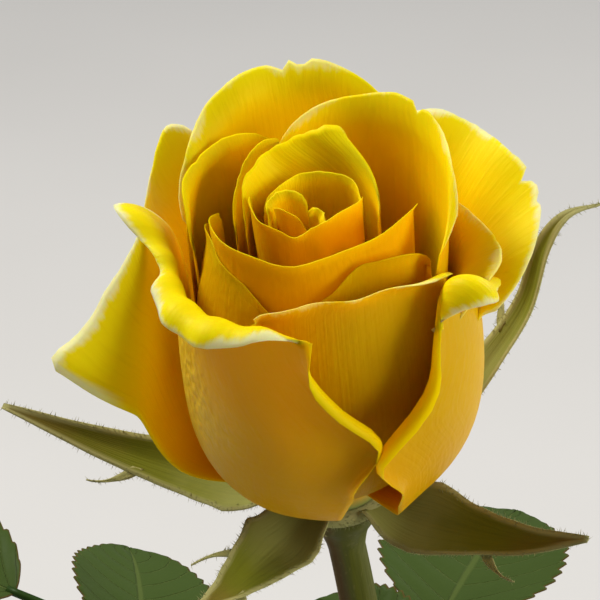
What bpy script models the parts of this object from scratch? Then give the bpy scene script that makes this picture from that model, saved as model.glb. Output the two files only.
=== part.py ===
"""A single cut rose standing in a small stoneware bud vase, in metres, +Z up.

The origin is the centre of the vase's flat underside. The bloom is fully opened and leans
10 degrees towards the front (-Y) and 6 degrees to the left (-X). Its petals are described in
the bloom's own frame, in millimetres and degrees: the radius from the bloom's axis, the
azimuth round it (0 is right, 90 is back, 180 is left, 270 is front) and the height above its
root, where the petals meet the hip.
"""
import math

import bpy
import bmesh
from mathutils import Matrix, Quaternion, Vector

MM = 0.001

# The vase: profile of its outer side, from the foot to the lip, as (radius, height) in mm.
VASE_OUTSIDE = [
    (29.0, 0.0), (30.6, 1.6), (35.5, 20.0), (41.0, 44.0), (43.0, 64.0), (41.0, 86.0),
    (34.0, 108.0), (24.5, 128.0), (17.8, 146.0), (15.2, 164.0), (16.2, 179.0), (19.2, 190.0),
]
VASE_WALL = 4.0
VASE_FLOOR = 7.0
VASE_HEIGHT = 192.5
VASE_SIDES = 24
WATER_TOP = 128.0
GAP = 0.3

# The stem: straight in the vase, then curved to the bloom's axis. Places in mm.
STEM_FOOT = Vector((-9.0, -7.0, 7.8))
STEM_LIP = Vector((7.0, 5.0, 190.0))
BLOOM_ROOT = Vector((1.0, 0.0, 298.0))
STEM_RADIUS_FOOT = 3.3
STEM_RADIUS_TOP = 3.0
STEM_SIDES = 10
LEAN_FRONT = math.radians(10.0)
LEAN_LEFT = math.radians(6.0)

# The hip under the bloom, as (height below or above the bloom's root, radius) in mm.
HIP = [(-13.0, 3.1), (-10.0, 3.9), (-7.5, 5.1), (-5.0, 5.7), (-2.5, 5.7), (-0.3, 5.3)]

PETAL_THICKNESS = 0.8
LEAF_THICKNESS = 0.7
NECK = 0.62   # share of a petal's length, from its root, where the rolled margin begins


def clear_scene():
    for old in list(bpy.data.objects):
        bpy.data.objects.remove(old)


def material(name, colour, roughness, coat=0.0, transmission=0.0):
    made = bpy.data.materials.new(name)
    made.use_nodes = True
    shader = made.node_tree.nodes["Principled BSDF"]
    shader.inputs["Base Color"].default_value = (*colour, 1.0)
    shader.inputs["Roughness"].default_value = roughness
    shader.inputs["Metallic"].default_value = 0.0
    shader.inputs["Coat Weight"].default_value = coat
    shader.inputs["Transmission Weight"].default_value = transmission
    made.diffuse_color = (*colour, 1.0)
    return made


def bloom_frame():
    """The bloom's frame in the world: Z along its leaning axis, X kept level to the right."""
    axis = Vector((-math.sin(LEAN_LEFT), -math.sin(LEAN_FRONT), 0.0))
    axis.z = math.sqrt(1.0 - axis.length_squared)
    across = Vector((1.0, 0.0, 0.0))
    across = (across - axis * across.dot(axis)).normalized()
    turned = Matrix((across, axis.cross(across), axis)).transposed().to_4x4()
    return Matrix.Translation(BLOOM_ROOT) @ turned


def smooth_step(x):
    x = min(max(x, 0.0), 1.0)
    return x * x * (3.0 - 2.0 * x)


def through(values, t):
    """A smooth curve through values spaced evenly over t from 0 to 1. Numbers or vectors."""
    last = len(values) - 1
    i = min(int(t * last), last - 1)
    f = t * last - i
    before = values[i - 1] if i > 0 else values[0] * 2.0 - values[1]
    after = values[i + 2] if i + 2 <= last else values[last] * 2.0 - values[last - 1]
    a, b = values[i], values[i + 1]
    return a + (b - before) * (0.5 * f) + (before * 2.0 - a * 5.0 + b * 4.0 - after) * (
        0.5 * f * f) + ((a - b) * 3.0 + after - before) * (0.5 * f * f * f)


def add_object(name, shape, look, collection=None):
    """Puts a bmesh, in millimetres, in the scene as an object in metres."""
    bmesh.ops.scale(shape, vec=(MM, MM, MM), verts=shape.verts)
    bmesh.ops.recalc_face_normals(shape, faces=shape.faces)
    mesh = bpy.data.meshes.new(name)
    shape.to_mesh(mesh)
    shape.free()
    mesh.shade_smooth()
    mesh.set_sharp_from_angle(angle=math.radians(50.0))
    made = bpy.data.objects.new(name, mesh)
    (collection or bpy.context.scene.collection).objects.link(made)
    made.data.materials.append(look)
    return made


def apply_modifiers(piece):
    """Keeps the piece's shape as its modifiers leave it, as a plain mesh."""
    bpy.context.view_layer.update()
    graph = bpy.context.evaluated_depsgraph_get()
    mesh = bpy.data.meshes.new_from_object(piece.evaluated_get(graph))
    piece.modifiers.clear()
    piece.data = mesh
    return piece


def unite(piece, members):
    """Joins the objects of the collection to the piece as one body, and takes them away."""
    joined = piece.modifiers.new("Join", "BOOLEAN")
    joined.operation = "UNION"
    joined.operand_type = "COLLECTION"
    joined.collection = members
    joined.solver = "MANIFOLD"
    apply_modifiers(piece)
    for member in list(members.objects):
        bpy.data.objects.remove(member)
    bpy.data.collections.remove(members)
    keep_outer_skin(piece)
    return piece


def keep_outer_skin(piece):
    """Drops the skins of sealed hollows and loose scraps: only the largest shell stays."""
    shape = bmesh.new()
    shape.from_mesh(piece.data)
    todo = set(shape.verts)
    shells = []
    while todo:
        shell = {todo.pop()}
        edge_of = list(shell)
        while edge_of:
            for edge in edge_of.pop().link_edges:
                for vert in edge.verts:
                    if vert in todo:
                        todo.discard(vert)
                        shell.add(vert)
                        edge_of.append(vert)
        shells.append(shell)
    largest = max(shells, key=len)
    loose = [v for shell in shells if shell is not largest for v in shell]
    bmesh.ops.delete(shape, geom=loose, context="VERTS")
    shape.to_mesh(piece.data)
    shape.free()


def new_collection(name):
    made = bpy.data.collections.new(name)
    bpy.context.scene.collection.children.link(made)
    return made


def turned_profile(name, profile, look):
    """A body turned round Z from (radius, height) points that run down its outer side."""
    shape = bmesh.new()
    corners = [shape.verts.new((r, 0.0, z)) for r, z in profile]
    for a, b in zip(corners, corners[1:]):
        shape.edges.new((a, b))
    bmesh.ops.spin(
        shape, geom=list(shape.verts) + list(shape.edges), cent=(0, 0, 0), axis=(0, 0, 1),
        angle=2.0 * math.pi, steps=VASE_SIDES, use_merge=True)
    bmesh.ops.remove_doubles(shape, verts=shape.verts, dist=0.01)
    return add_object(name, shape, look)


def tube(name, centres, radii, sides, look, collection=None, squash=1.0):
    """A closed round bar along the centres, whose rings turn with its path."""
    shape = bmesh.new()
    rings = []
    side = None
    for i, centre in enumerate(centres):
        ahead = centres[min(i + 1, len(centres) - 1)] - centres[max(i - 1, 0)]
        ahead.normalize()
        if side is None:
            side = ahead.orthogonal()
        side = (side - ahead * side.dot(ahead)).normalized()
        other = ahead.cross(side)
        rings.append([
            shape.verts.new(centre + radii[i] * (
                side * math.cos(2.0 * math.pi * k / sides)
                + other * math.sin(2.0 * math.pi * k / sides) * squash))
            for k in range(sides)])
    for a, b in zip(rings, rings[1:]):
        for k in range(sides):
            n = (k + 1) % sides
            shape.faces.new((a[k], a[n], b[n], b[k]))
    shape.faces.new(reversed(rings[0]))
    shape.faces.new(rings[-1])
    return add_object(name, shape, look, collection)


def sheet(name, rows, thickness, look, collection=None):
    """A blade from rows of points, split into triangles and thickened evenly to both sides."""
    shape = bmesh.new()
    grid = [[shape.verts.new(p) for p in row] for row in rows]
    for a, b in zip(grid, grid[1:]):
        for k in range(len(a) - 1):
            shape.faces.new((a[k], a[k + 1], b[k + 1]))
            shape.faces.new((a[k], b[k + 1], b[k]))
    made = add_object(name, shape, look, collection)
    thick = made.modifiers.new("Thickness", "SOLIDIFY")
    thick.thickness = thickness * MM
    thick.offset = 0.0
    return apply_modifiers(made)


# The vase and the water

def offset_inwards(profile, by):
    """The profile moved inwards along its own normals."""
    moved = []
    for i, (r, z) in enumerate(profile):
        r0, z0 = profile[max(i - 1, 0)]
        r1, z1 = profile[min(i + 1, len(profile) - 1)]
        length = math.hypot(r1 - r0, z1 - z0)
        moved.append((r - by * (z1 - z0) / length, z + by * (r1 - r0) / length))
    return moved


def vase_inside():
    """The inner side from the lip down to the floor, a wall's thickness from the outer side."""
    inner = [(r, z) for r, z in offset_inwards(VASE_OUTSIDE, VASE_WALL) if z > VASE_FLOOR + 6]
    return inner[::-1] + [(29.4, VASE_FLOOR + 3.5), (25.5, VASE_FLOOR)]


def make_vase(look):
    lip = [(19.9, 191.2), (19.3, 192.3), (18.1, VASE_HEIGHT), (16.9, 192.2), (16.0, 191.0)]
    outer = [(0.0, 0.0)] + VASE_OUTSIDE + lip
    profile = outer + vase_inside() + [(0.0, VASE_FLOOR)]
    return turned_profile("vase", profile, look)


def make_water(look):
    wall = [(r, z) for r, z in vase_inside() if z < WATER_TOP - 4.0]
    rise = [(r, z) for r, z in vase_inside() if z >= WATER_TOP - 4.0][-1]
    share = (WATER_TOP - wall[0][1]) / (rise[1] - wall[0][1])
    rim = (wall[0][0] + (rise[0] - wall[0][0]) * share, WATER_TOP)
    side = [(r - 1.5 * GAP, max(z, VASE_FLOOR + GAP)) for r, z in [rim] + wall]
    water = turned_profile(
        "water", [(0.0, VASE_FLOOR + GAP)] + side[::-1] + [(0.0, WATER_TOP)], look)
    hole = bmesh.new()
    along = STEM_LIP - STEM_FOOT
    bmesh.ops.create_cone(
        hole, cap_ends=True, segments=16, radius1=STEM_RADIUS_FOOT + 0.45,
        radius2=STEM_RADIUS_FOOT + 0.45, depth=2.2 * along.length)
    turn = along.to_track_quat("Z", "Y").to_matrix().to_4x4()
    bmesh.ops.transform(hole, matrix=Matrix.Translation(STEM_FOOT) @ turn, verts=hole.verts)
    cutter = add_object("stem_hole", hole, look)
    cut = water.modifiers.new("Stem hole", "BOOLEAN")
    cut.operation = "DIFFERENCE"
    cut.object = cutter
    apply_modifiers(water)
    bpy.data.objects.remove(cutter)
    return water


# The stem, with its hip and prickles

def stem_point(t):
    """The stem's centre: straight from its foot to the lip for t up to 0.6, then curved."""
    if t < 0.6:
        return STEM_FOOT.lerp(STEM_LIP, t / 0.6)
    frame = bloom_frame()
    end = frame @ Vector((0.0, 0.0, HIP[0][0] - 1.0))
    reach = 0.36 * (end - STEM_LIP).length
    lip_ahead = (STEM_LIP - STEM_FOOT).normalized() * reach
    # The upper end comes in a little steeper than the bloom's own axis.
    end_ahead = (frame.to_3x3() @ Vector((-0.07, 0.02, 1.0))).normalized() * reach
    a, b, c, d = STEM_LIP, STEM_LIP + lip_ahead, end - end_ahead, end
    s = (t - 0.6) / 0.4
    return a * (1 - s) ** 3 + b * 3 * s * (1 - s) ** 2 + c * 3 * s * s * (1 - s) + d * s ** 3


def stem_radius(t):
    return STEM_RADIUS_FOOT + (STEM_RADIUS_TOP - STEM_RADIUS_FOOT) * t


def stem_ahead(t):
    return (stem_point(min(t + 0.01, 1.0)) - stem_point(t - 0.01)).normalized()


def stem_side(t, azimuth):
    """The level direction at this azimuth, made square to the stem."""
    out = Vector((math.cos(math.radians(azimuth)), math.sin(math.radians(azimuth)), 0.0))
    ahead = stem_ahead(t)
    return (out - ahead * out.dot(ahead)).normalized()


# Prickles as (place along the stem, azimuth, length in mm)
PRICKLES = [
    (0.655, 200, 6.0), (0.675, 20, 6.5), (0.705, 300, 6.0), (0.735, 95, 5.5), (0.745, 215, 6.0),
    (0.785, 330, 5.5), (0.815, 150, 5.5), (0.845, 260, 5.0), (0.885, 110, 4.5), (0.905, 345, 4.0),
]


def make_prickle(name, t, azimuth, length, look, collection):
    """A hooked thorn: wide along the stem at its base, with its tip turned down."""
    ahead = stem_ahead(t)
    out = stem_side(t, azimuth)
    foot = stem_point(t) + out * (stem_radius(t) - 1.0)
    centres, radii = [], []
    for s in (0.0, 0.25, 0.6, 1.0):
        centres.append(foot + out * (length + 1.0) * s - ahead * 0.42 * length * s ** 2)
        radii.append(2.2 * (1.0 - s) ** 1.5 + 0.12)
    return tube(name, centres, radii, 6, look, collection, squash=0.6)


def make_stem(look):
    frame = bloom_frame()
    steps = [0.0, 0.2, 0.4, 0.6, 0.66, 0.72, 0.78, 0.84, 0.9, 0.95, 1.0]
    centres = [stem_point(t) for t in steps] + [frame @ Vector((0, 0, z)) for z, r in HIP]
    radii = [stem_radius(t) for t in steps] + [r for z, r in HIP]
    stem = tube("stem", centres, radii, STEM_SIDES, look)
    prickles = new_collection("prickles")
    for i, (t, azimuth, length) in enumerate(PRICKLES):
        make_prickle(f"prickle_{i}", t, azimuth, length, look, prickles)
    return unite(stem, prickles)


# The sepals

# Each sepal: azimuth, half width, roll about its own length in degrees, side lobes (share of
# length, side) and path as (radius, height).
SEPALS = [
    (164, 6.2, -28, [(0.62, 1)], [(6.6, -1.8), (15, -2.4), (26, -1.6), (40, 2), (55, 7.5)]),
    (230, 6.6, -12, [(0.5, -1), (0.72, 1)],
     [(6.6, -1.8), (13, -2.8), (20, -2.6), (27, -2.2), (34, 0.0)]),
    (327, 6.4, 22, [(0.6, -1)], [(6.6, -1.8), (14, -2.4), (24, -1.2), (34, 1.5), (45, 7)]),
    (33, 3.3, 0, [(0.42, 1)],
     [(6.6, -1.8), (18.5, -1.2), (29.6, 7.4), (37.4, 15), (41.5, 24.5), (46, 28.8), (53, 27.6)]),
    (98, 5.6, 8, [(0.5, 1), (0.66, -1)], [(6.6, -1.8), (15, -2.6), (25, -4), (35, -9), (42, -17)]),
]
SEPAL_ROWS = 8


def sepal_rows(azimuth, half, roll, path, count):
    """Rows across the sepal: a shallow trough, widest in its lower third, ending in a tip."""
    angle = math.radians(azimuth)
    out = Vector((math.cos(angle), math.sin(angle), 0.0))
    level = Vector((-math.sin(angle), math.cos(angle), 0.0))
    places = [out * r + Vector((0.0, 0.0, z)) for r, z in path]
    rows = []
    for i in range(count + 1):
        t = i / count
        centre = through(places, t)
        ahead = (through(places, min(t + 0.02, 1.0)) - through(places, max(t - 0.02, 0.0)))
        side = Quaternion(ahead, math.radians(roll * smooth_step(4.0 * t))) @ level
        over = side.cross(ahead.normalized())
        width = half * (0.62 + 1.2 * t) if t < 0.32 else half * (1.004 - 0.92 * (
            (t - 0.32) / 0.68) ** 0.85)
        rows.append([centre + side * width * k - over * width * 0.32 * k * k
                     for k in (-1.0, 0.0, 1.0)])
    return rows


def make_sepals(look):
    collar = bmesh.new()
    corners = [(6.05, -3.2), (7.6, -3.0), (7.9, -1.6), (7.2, -0.6), (6.05, -0.6)]
    verts = [collar.verts.new((r, 0.0, z)) for r, z in corners]
    for a, b in zip(verts, verts[1:] + verts[:1]):
        collar.edges.new((a, b))
    bmesh.ops.spin(
        collar, geom=list(collar.verts) + list(collar.edges), cent=(0, 0, 0), axis=(0, 0, 1),
        angle=2.0 * math.pi, steps=16, use_merge=True)
    calyx = add_object("sepals", collar, look)
    blades = new_collection("sepal_blades")
    for i, (azimuth, half, roll, lobes, path) in enumerate(SEPALS):
        rows = sepal_rows(azimuth, half, roll, path, SEPAL_ROWS)
        sheet(f"sepal_{i}", rows, LEAF_THICKNESS, look, blades)
        for share, way in lobes:
            row = rows[round(share * SEPAL_ROWS)]
            edge = row[2] if way > 0 else row[0]
            root = row[1] * 0.4 + edge * 0.6
            ahead = (rows[round(share * SEPAL_ROWS) + 1][1] - row[1]).normalized()
            off = (edge - row[1]).normalized()
            lobe = [[root + (ahead * 0.8 + off * 0.7) * 8.0 * s + ahead * k * 1.1 * (1.1 - s)
                     for k in (-1.0, 1.0)] for s in (0.0, 0.5, 1.0)]
            sheet(f"lobe_{i}_{way}", lobe, LEAF_THICKNESS, look, blades)
    unite(calyx, blades)
    calyx.matrix_world = scaled(bloom_frame())
    return calyx


def scaled(frame):
    """A frame in millimetres as one in metres, for a mesh that is already in metres."""
    return Matrix.Translation(frame.translation * MM) @ frame.to_3x3().to_4x4()


# The leaves

# Each leaf: place along the stem, azimuth, stalk length, rise, and its leaflets as
# (place along the stalk, side, length, half width, droop).
LEAVES = [
    ("leaf_1", 0.665, 300, 78.0, 36.0, [
        (1.00, 0, 52.0, 17.0, 0.30), (0.72, 1, 42.0, 14.0, 0.25), (0.70, -1, 42.0, 14.0, 0.25),
        (0.42, 1, 32.0, 10.5, 0.2), (0.40, -1, 32.0, 10.5, 0.2)]),
    ("leaf_2", 0.735, 158, 64.0, 32.0, [
        (1.00, 0, 48.0, 16.0, 0.30), (0.70, 1, 38.0, 13.0, 0.25), (0.68, -1, 38.0, 13.0, 0.25),
        (0.40, 1, 28.0, 9.5, 0.2), (0.38, -1, 28.0, 9.5, 0.2)]),
    ("leaf_3", 0.79, 68, 26.0, 11.0, [
        (1.00, 0, 44.0, 16.5, 0.22), (0.60, 1, 31.0, 11.0, 0.2), (0.58, -1, 31.0, 11.0, 0.2)]),
]
TEETH = 7


def stalk_point(t, start, out, length, rise):
    """A stalk leaves the stem steeply and bends over towards its tip."""
    return start + out * length * (0.55 * t + 0.45 * t * t) + Vector(
        (0.0, 0.0, rise * (1.5 * t - 0.5 * t * t)))


def leaflet_rows(base, ahead, up, length, half, droop):
    """An oval leaflet with a toothed edge, folded a little along its midrib and drooping."""
    side = ahead.cross(up).normalized()
    over = side.cross(ahead).normalized()
    rows = []
    count = 2 * TEETH
    for i in range(count + 1):
        t = i / count
        centre = base + ahead * length * (t - droop * 0.25 * t ** 3) - over * (
            length * droop * t * t)
        width = half * math.sin(math.pi * min(t ** 0.8, 1.0)) ** 0.75 if 0 < t < 1 else 0.0
        width = max(width * (1.07 if i % 2 else 0.93), 0.9 if i == 0 else 0.35)
        forward = ahead * (length * 0.035 if i % 2 else 0.0)
        rows.append([centre + side * width * k + over * width * 0.22 * k * k
                     + forward * abs(k) for k in (-1.0, 0.0, 1.0)])
    return rows


def make_leaf(name, t, azimuth, length, rise, leaflets, look):
    out = stem_side(t, azimuth)
    start = stem_point(t) + out * (stem_radius(t) + GAP + 0.1)
    level = Vector((out.x, out.y, 0.0)).normalized()
    count = 7
    centres = [start, start + level * 0.9]
    centres += [stalk_point(i / count, start + level * 1.2, level, length, rise)
                for i in range(1, count + 1)]
    radii = [1.9, 1.7] + [1.35 - 0.6 * i / count for i in range(1, count + 1)]
    leaf = tube(name, centres, radii, 6, look)
    blades = new_collection(name + "_blades")
    across = level.cross(Vector((0.0, 0.0, 1.0)))
    for i, (share, side, size, half, droop) in enumerate(leaflets):
        at = stalk_point(share, start + level * 1.2, level, length, rise)
        back = stalk_point(share - 0.1, start + level * 1.2, level, length, rise)
        along = (at - back).normalized()
        ahead = along if side == 0 else (along * 0.42 + across * side * 0.9).normalized()
        up = across.cross(along).normalized()
        base = at - ahead * (1.5 if side == 0 else 0.3) - up * 0.1
        sheet(f"{name}_leaflet_{i}", leaflet_rows(base, ahead, up, size, half, droop),
              LEAF_THICKNESS, look, blades)
    for side in (-1, 1):
        # A stipule: a narrow ear on each side of the stalk's foot.
        rows = []
        for i in range(5):
            s = i / 4
            at = stalk_point(0.02 + 0.2 * s, start + level * 1.2, level, length, rise)
            flare = across * side * (2.6 - 1.2 * s + 2.4 * max(s - 0.7, 0.0))
            rows.append([at - across * side * 0.4, at + flare])
        sheet(f"{name}_stipule_{side}", rows, LEAF_THICKNESS, look, blades)
    return unite(leaf, blades)


# The bloom

def petal(name, belly, rim, height, radius, lean, turn, margin, root, swell, lap=0.0,
          lift=(0.0, 0.0), corner=(0.2, 0.2), shift=(0.3, 0.8), square=4.0, foot=0.8,
          trim=((0, 0), (0, 0)), grid=(9, 9)):
    """One petal, described from its root to its rim.

    belly, rim     azimuths of its two side edges, at the belly and at the rim
    height, radius where the rolled margin begins, at places spaced from edge to edge
    lean           how far it leans out there, in degrees
    turn, margin   how far the margin rolls over, in degrees, and its length
    root, swell    radius and height of the root, and how far the belly bulges out
    lap            offset that lifts one side edge over the neighbour and tucks the other under
    lift           how far the side edges stand off
    corner, square how much the corners are rounded off, and how near the edges
    shift          where the side edges move from the belly's azimuths to the rim's
    foot           how narrow the petal is at its root, as a share of its belly's width
    trim           degrees by which each side edge is wider, from root to rim
    grid           quads across and along
    """
    belly = (belly[0], belly[1] + 360.0 * (belly[1] < belly[0]))
    rim = (rim[0], rim[1] + 360.0 * (rim[1] < rim[0]))
    turns = round((belly[0] - rim[0]) / 360.0) * 360.0
    rim = (rim[0] + turns, rim[1] + turns)
    return dict(name=name, belly=belly, rim=rim, height=height, radius=radius, lean=lean,
                turn=turn, margin=margin, root=root, swell=swell, lap=lap, lift=lift,
                corner=corner, shift=shift, square=square, foot=foot, trim=trim, grid=grid)


PETALS = [
    # The outermost ring
    petal("front_left", (164, 290), (156, 269), (45.5, 47, 47, 47.5, 50),
          (22.5, 19.6, 20.4, 21, 21), lean=(15, -6, -8, -8, -6), turn=(85, 125, 160, 165, 110),
          margin=(18, 4, 8, 10, 4), root=(4.5, 3.3), swell=26, lap=0.4, lift=(0, 1.5),
          corner=(0.03, 0.04), shift=(0.25, 0.6), square=6, foot=0.7,
          trim=((0, 0), (-6, -8, -10, -12, -5, 17, 11, 4, 3, 1, 0, 0, 0)), grid=(10, 11)),
    petal("front_right", (291, 396), (318, 364), (45.2, 46, 43, 39, 34),
          (22.5, 23.3, 24, 24.4, 24.4), lean=(-2, -2, -2, 0, 0), turn=(130, 170, 170, 130, 80),
          margin=(8, 12, 7.5, 5, 3), root=(4.5, 2.2), swell=27, lift=(3, 0),
          corner=(0.03, 0.04), shift=(0.42, 0.62), square=8,
          trim=((-4, -6, -6, -5, -3, 8, -4, 2, -1, 0, 0, 0, 0), (0, 0)), grid=(9, 11)),
    petal("back_right", (344, 74), (350, 64), (35.5, 37.5, 42, 44, 46),
          (23.6, 24.6, 27.2, 28, 27.5), lean=(40, 40, 36, 30, 24), turn=(30, 25, 20, 30, 40),
          margin=(8.5, 11.5, 13.2, 13, 10.8, 9.6, 9, 8, 7), root=(4.5, 4.2), swell=22,
          lap=-0.6, corner=(0.03, 0.05), square=8, grid=(9, 8)),
    petal("back", (50, 136), (58, 122), (38, 42, 38), (26, 27, 22.8), lean=(8, 8, 3), turn=(60,
          80, 20), margin=(7, 9, 3), root=(4.5, 3.2), swell=24, lap=-0.6, grid=(8, 8)),
    petal("left", (112, 194), (120, 187), (44.5, 44, 42, 34, 23.5), (29, 28, 26, 26, 29.5),
          lean=(42, 35, 18, 26, 44), turn=(15, 15, 15, 20, 30),
          margin=(11, 10.5, 9.5, 7.8, 6.3, 5.4, 5, 4.9, 5, 5.2, 5.5, 6.4, 7.5, 8.6, 10, 14, 25),
          root=(4.5, 1.2), swell=28.5, corner=(0.02, 0.0), square=8,
          trim=((0, 0), (0, 0, 3, 7, -2)), grid=(8, 8)),
    # The second ring
    petal("back_left", (48, 176), (58, 162), (52.5, 54.5, 54.3, 52, 49.5), (25, 25.6, 24.2,
          20.5, 18.6), lean=(8, 12, 12, 8, 2), turn=(30, 40, 40, 40, 40), margin=(6, 7, 7, 6,
          4), root=(4, 4.4), swell=20, lap=-0.2, corner=(0.02, 0.04), grid=(9, 8)),
    petal("right", (322, 46), (334, 30), (43.5, 43, 41.5, 43, 44), (22.4, 22.9, 23.4, 23, 22),
          lean=(30, 45, 40, 16, 8), turn=(30, 30, 30, 30, 30), margin=(6, 7.5, 5.5, 4, 4),
          root=(4, 5.4), swell=19, lap=0.2, corner=(0.04, 0.06), square=6, grid=(8, 9)),
    petal("front", (232, 342), (243, 336), (47.5, 48.5, 48.5), (17.3, 18, 21.4), lean=(2, 2, 6),
          turn=(30, 30, 110), margin=(3, 3, 5), root=(4, 4.2), swell=22, lap=0.4, corner=(0.05,
          0.04), grid=(8, 9)),
    petal("back_right_inner", (332, 112), (354, 104), (52, 53.5, 54, 54, 55.5), (21.4, 21.6,
          22.4, 19.6, 14.4), lean=(8, 6, 8, 6, 4), turn=(30, 30, 30, 30, 20), margin=(5, 5, 6,
          5, 4), root=(4, 6.6), swell=18.4, corner=(0.03, 0.05), shift=(0.5, 1.0), grid=(9, 8)),
    # The third ring
    petal("left_inner", (96, 190), (101, 178), (53, 53.2, 52.8, 52.4, 50), (20, 19.6, 19.2, 18,
          16.4), lean=(2, 2, 2, 2, 0), turn=(20, 30, 40, 40, 30), margin=(3, 3, 3, 3, 3),
          root=(4, 5.8), swell=18.4, corner=(0.06, 0.06), grid=(7, 6)),
    petal("front_left_inner", (150, 284), (158, 256), (48.5, 48.5, 47.5, 46, 43.5), (15.4, 14.6,
          14.0, 14.0, 14.2), lean=(-6, -20, -22, -18, -10), turn=(20, 20, 20), margin=(3, 3, 3),
          root=(4, 8.4), swell=20.5, corner=(0.03, 0.04), grid=(7, 7)),
    petal("front_right_inner", (250, 356), (262, 350), (45, 46.8, 50, 49.2, 46), (14.4, 14.2,
          14.4, 17.2, 18), lean=(0, 0, 2), turn=(20, 20, 30), margin=(3, 3, 3), root=(4, 7.6),
          swell=18, corner=(0.04, 0.05), grid=(8, 6)),
    petal("front_inner", (150, 366), (152, 362), (49.5, 52, 51.2, 53, 53.6), (14.4, 13.0, 12.4,
          13.4, 16), lean=(0, -4, -6, -4, 4), turn=(20, 20, 20, 20, 40), margin=(3, 3, 3, 3, 4),
          root=(4, 9.4), swell=16, corner=(0.03, 0.04), grid=(10, 6)),
    petal("back_left_inner", (84, 178), (102, 168), (56, 54.5, 52.5, 51.5, 49.5), (16.4, 14.6,
          12.6, 11.2, 10), lean=(0, 0, 0), turn=(20, 30, 40), margin=(2, 2, 2), root=(3.5, 11),
          swell=13.5, lap=0.2, corner=(0.03, 0.05), grid=(6, 6)),
    # The spiral of the heart
    petal("heart_back", (348, 170), (58, 160), (51.5, 50.5, 49.5, 49.5, 49.5), (11, 11, 10.8,
          9.7, 9.0), lean=(0, 4, 3, 2, 0), turn=(60, 20, 15, 15, 20), margin=(10, 8.5, 8, 7, 5),
          root=(3.5, 14), swell=11, corner=(0.0, 0.02), shift=(0.6, 1.0), square=12, grid=(9, 7)),
    petal("heart_front", (150, 372), (150, 368), (53.6, 52.8, 51.2, 53.6, 54.4), (8.8, 6.2, 4.6,
          5.2, 8.6), lean=(0, 0, 0), turn=(20, 20, 20), margin=(2, 2, 2), root=(3, 18), swell=8,
          lap=0.2, corner=(0.01, 0.01), grid=(9, 5)),
    petal("heart_ring", (2, 160), (8, 150), (52.2, 52.4, 52.4, 52.2, 52.0), (8.8, 9.3, 8.7, 7.2,
          6.4), lean=(0, 0, 0), turn=(20, 20, 20), margin=(2, 2, 2), root=(3, 22), swell=7.5,
          lap=0.2, corner=(0.01, 0.02), grid=(7, 5)),
    petal("heart_left", (60, 196), (70, 186), (52.6, 53, 53, 52.6, 52), (2.0, 3.2, 4.5, 4.9,
          4.6), lean=(0, 0, 0), turn=(30, 50, 30), margin=(2, 2, 2), root=(2, 26), swell=5,
          lap=0.2, corner=(0.01, 0.02), grid=(6, 4)),
    petal("heart_right", (300, 100), (308, 84), (50, 50.6, 51, 51, 50.6), (3.2, 2.8, 2.4, 2.4,
          2.8), lean=(0, 0, 0), turn=(30, 50, 30), margin=(2, 2, 2), root=(1.5, 28), swell=4,
          lap=0.2, corner=(0.01, 0.01), grid=(5, 4)),
    petal("heart_core", (150, 300), (160, 290), (53.4, 53.8, 53.8, 53, 51.8), (4.4, 3.3, 2.2,
          2.0, 2.4), lean=(0, 0, 0), turn=(30, 30, 30), margin=(1.5, 2, 1.5), root=(1.0, 30),
          swell=3, lap=0.2, corner=(0.01, 0.03), grid=(5, 4)),
]

# The core that the petals stand on, as (height, radius) in mm.
CORE = [(0.0, 6.2), (3.0, 6.8), (9.0, 6.4), (14.0, 5.6), (20.0, 4.9), (27.0, 3.9), (33.0, 2.6)]


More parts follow.
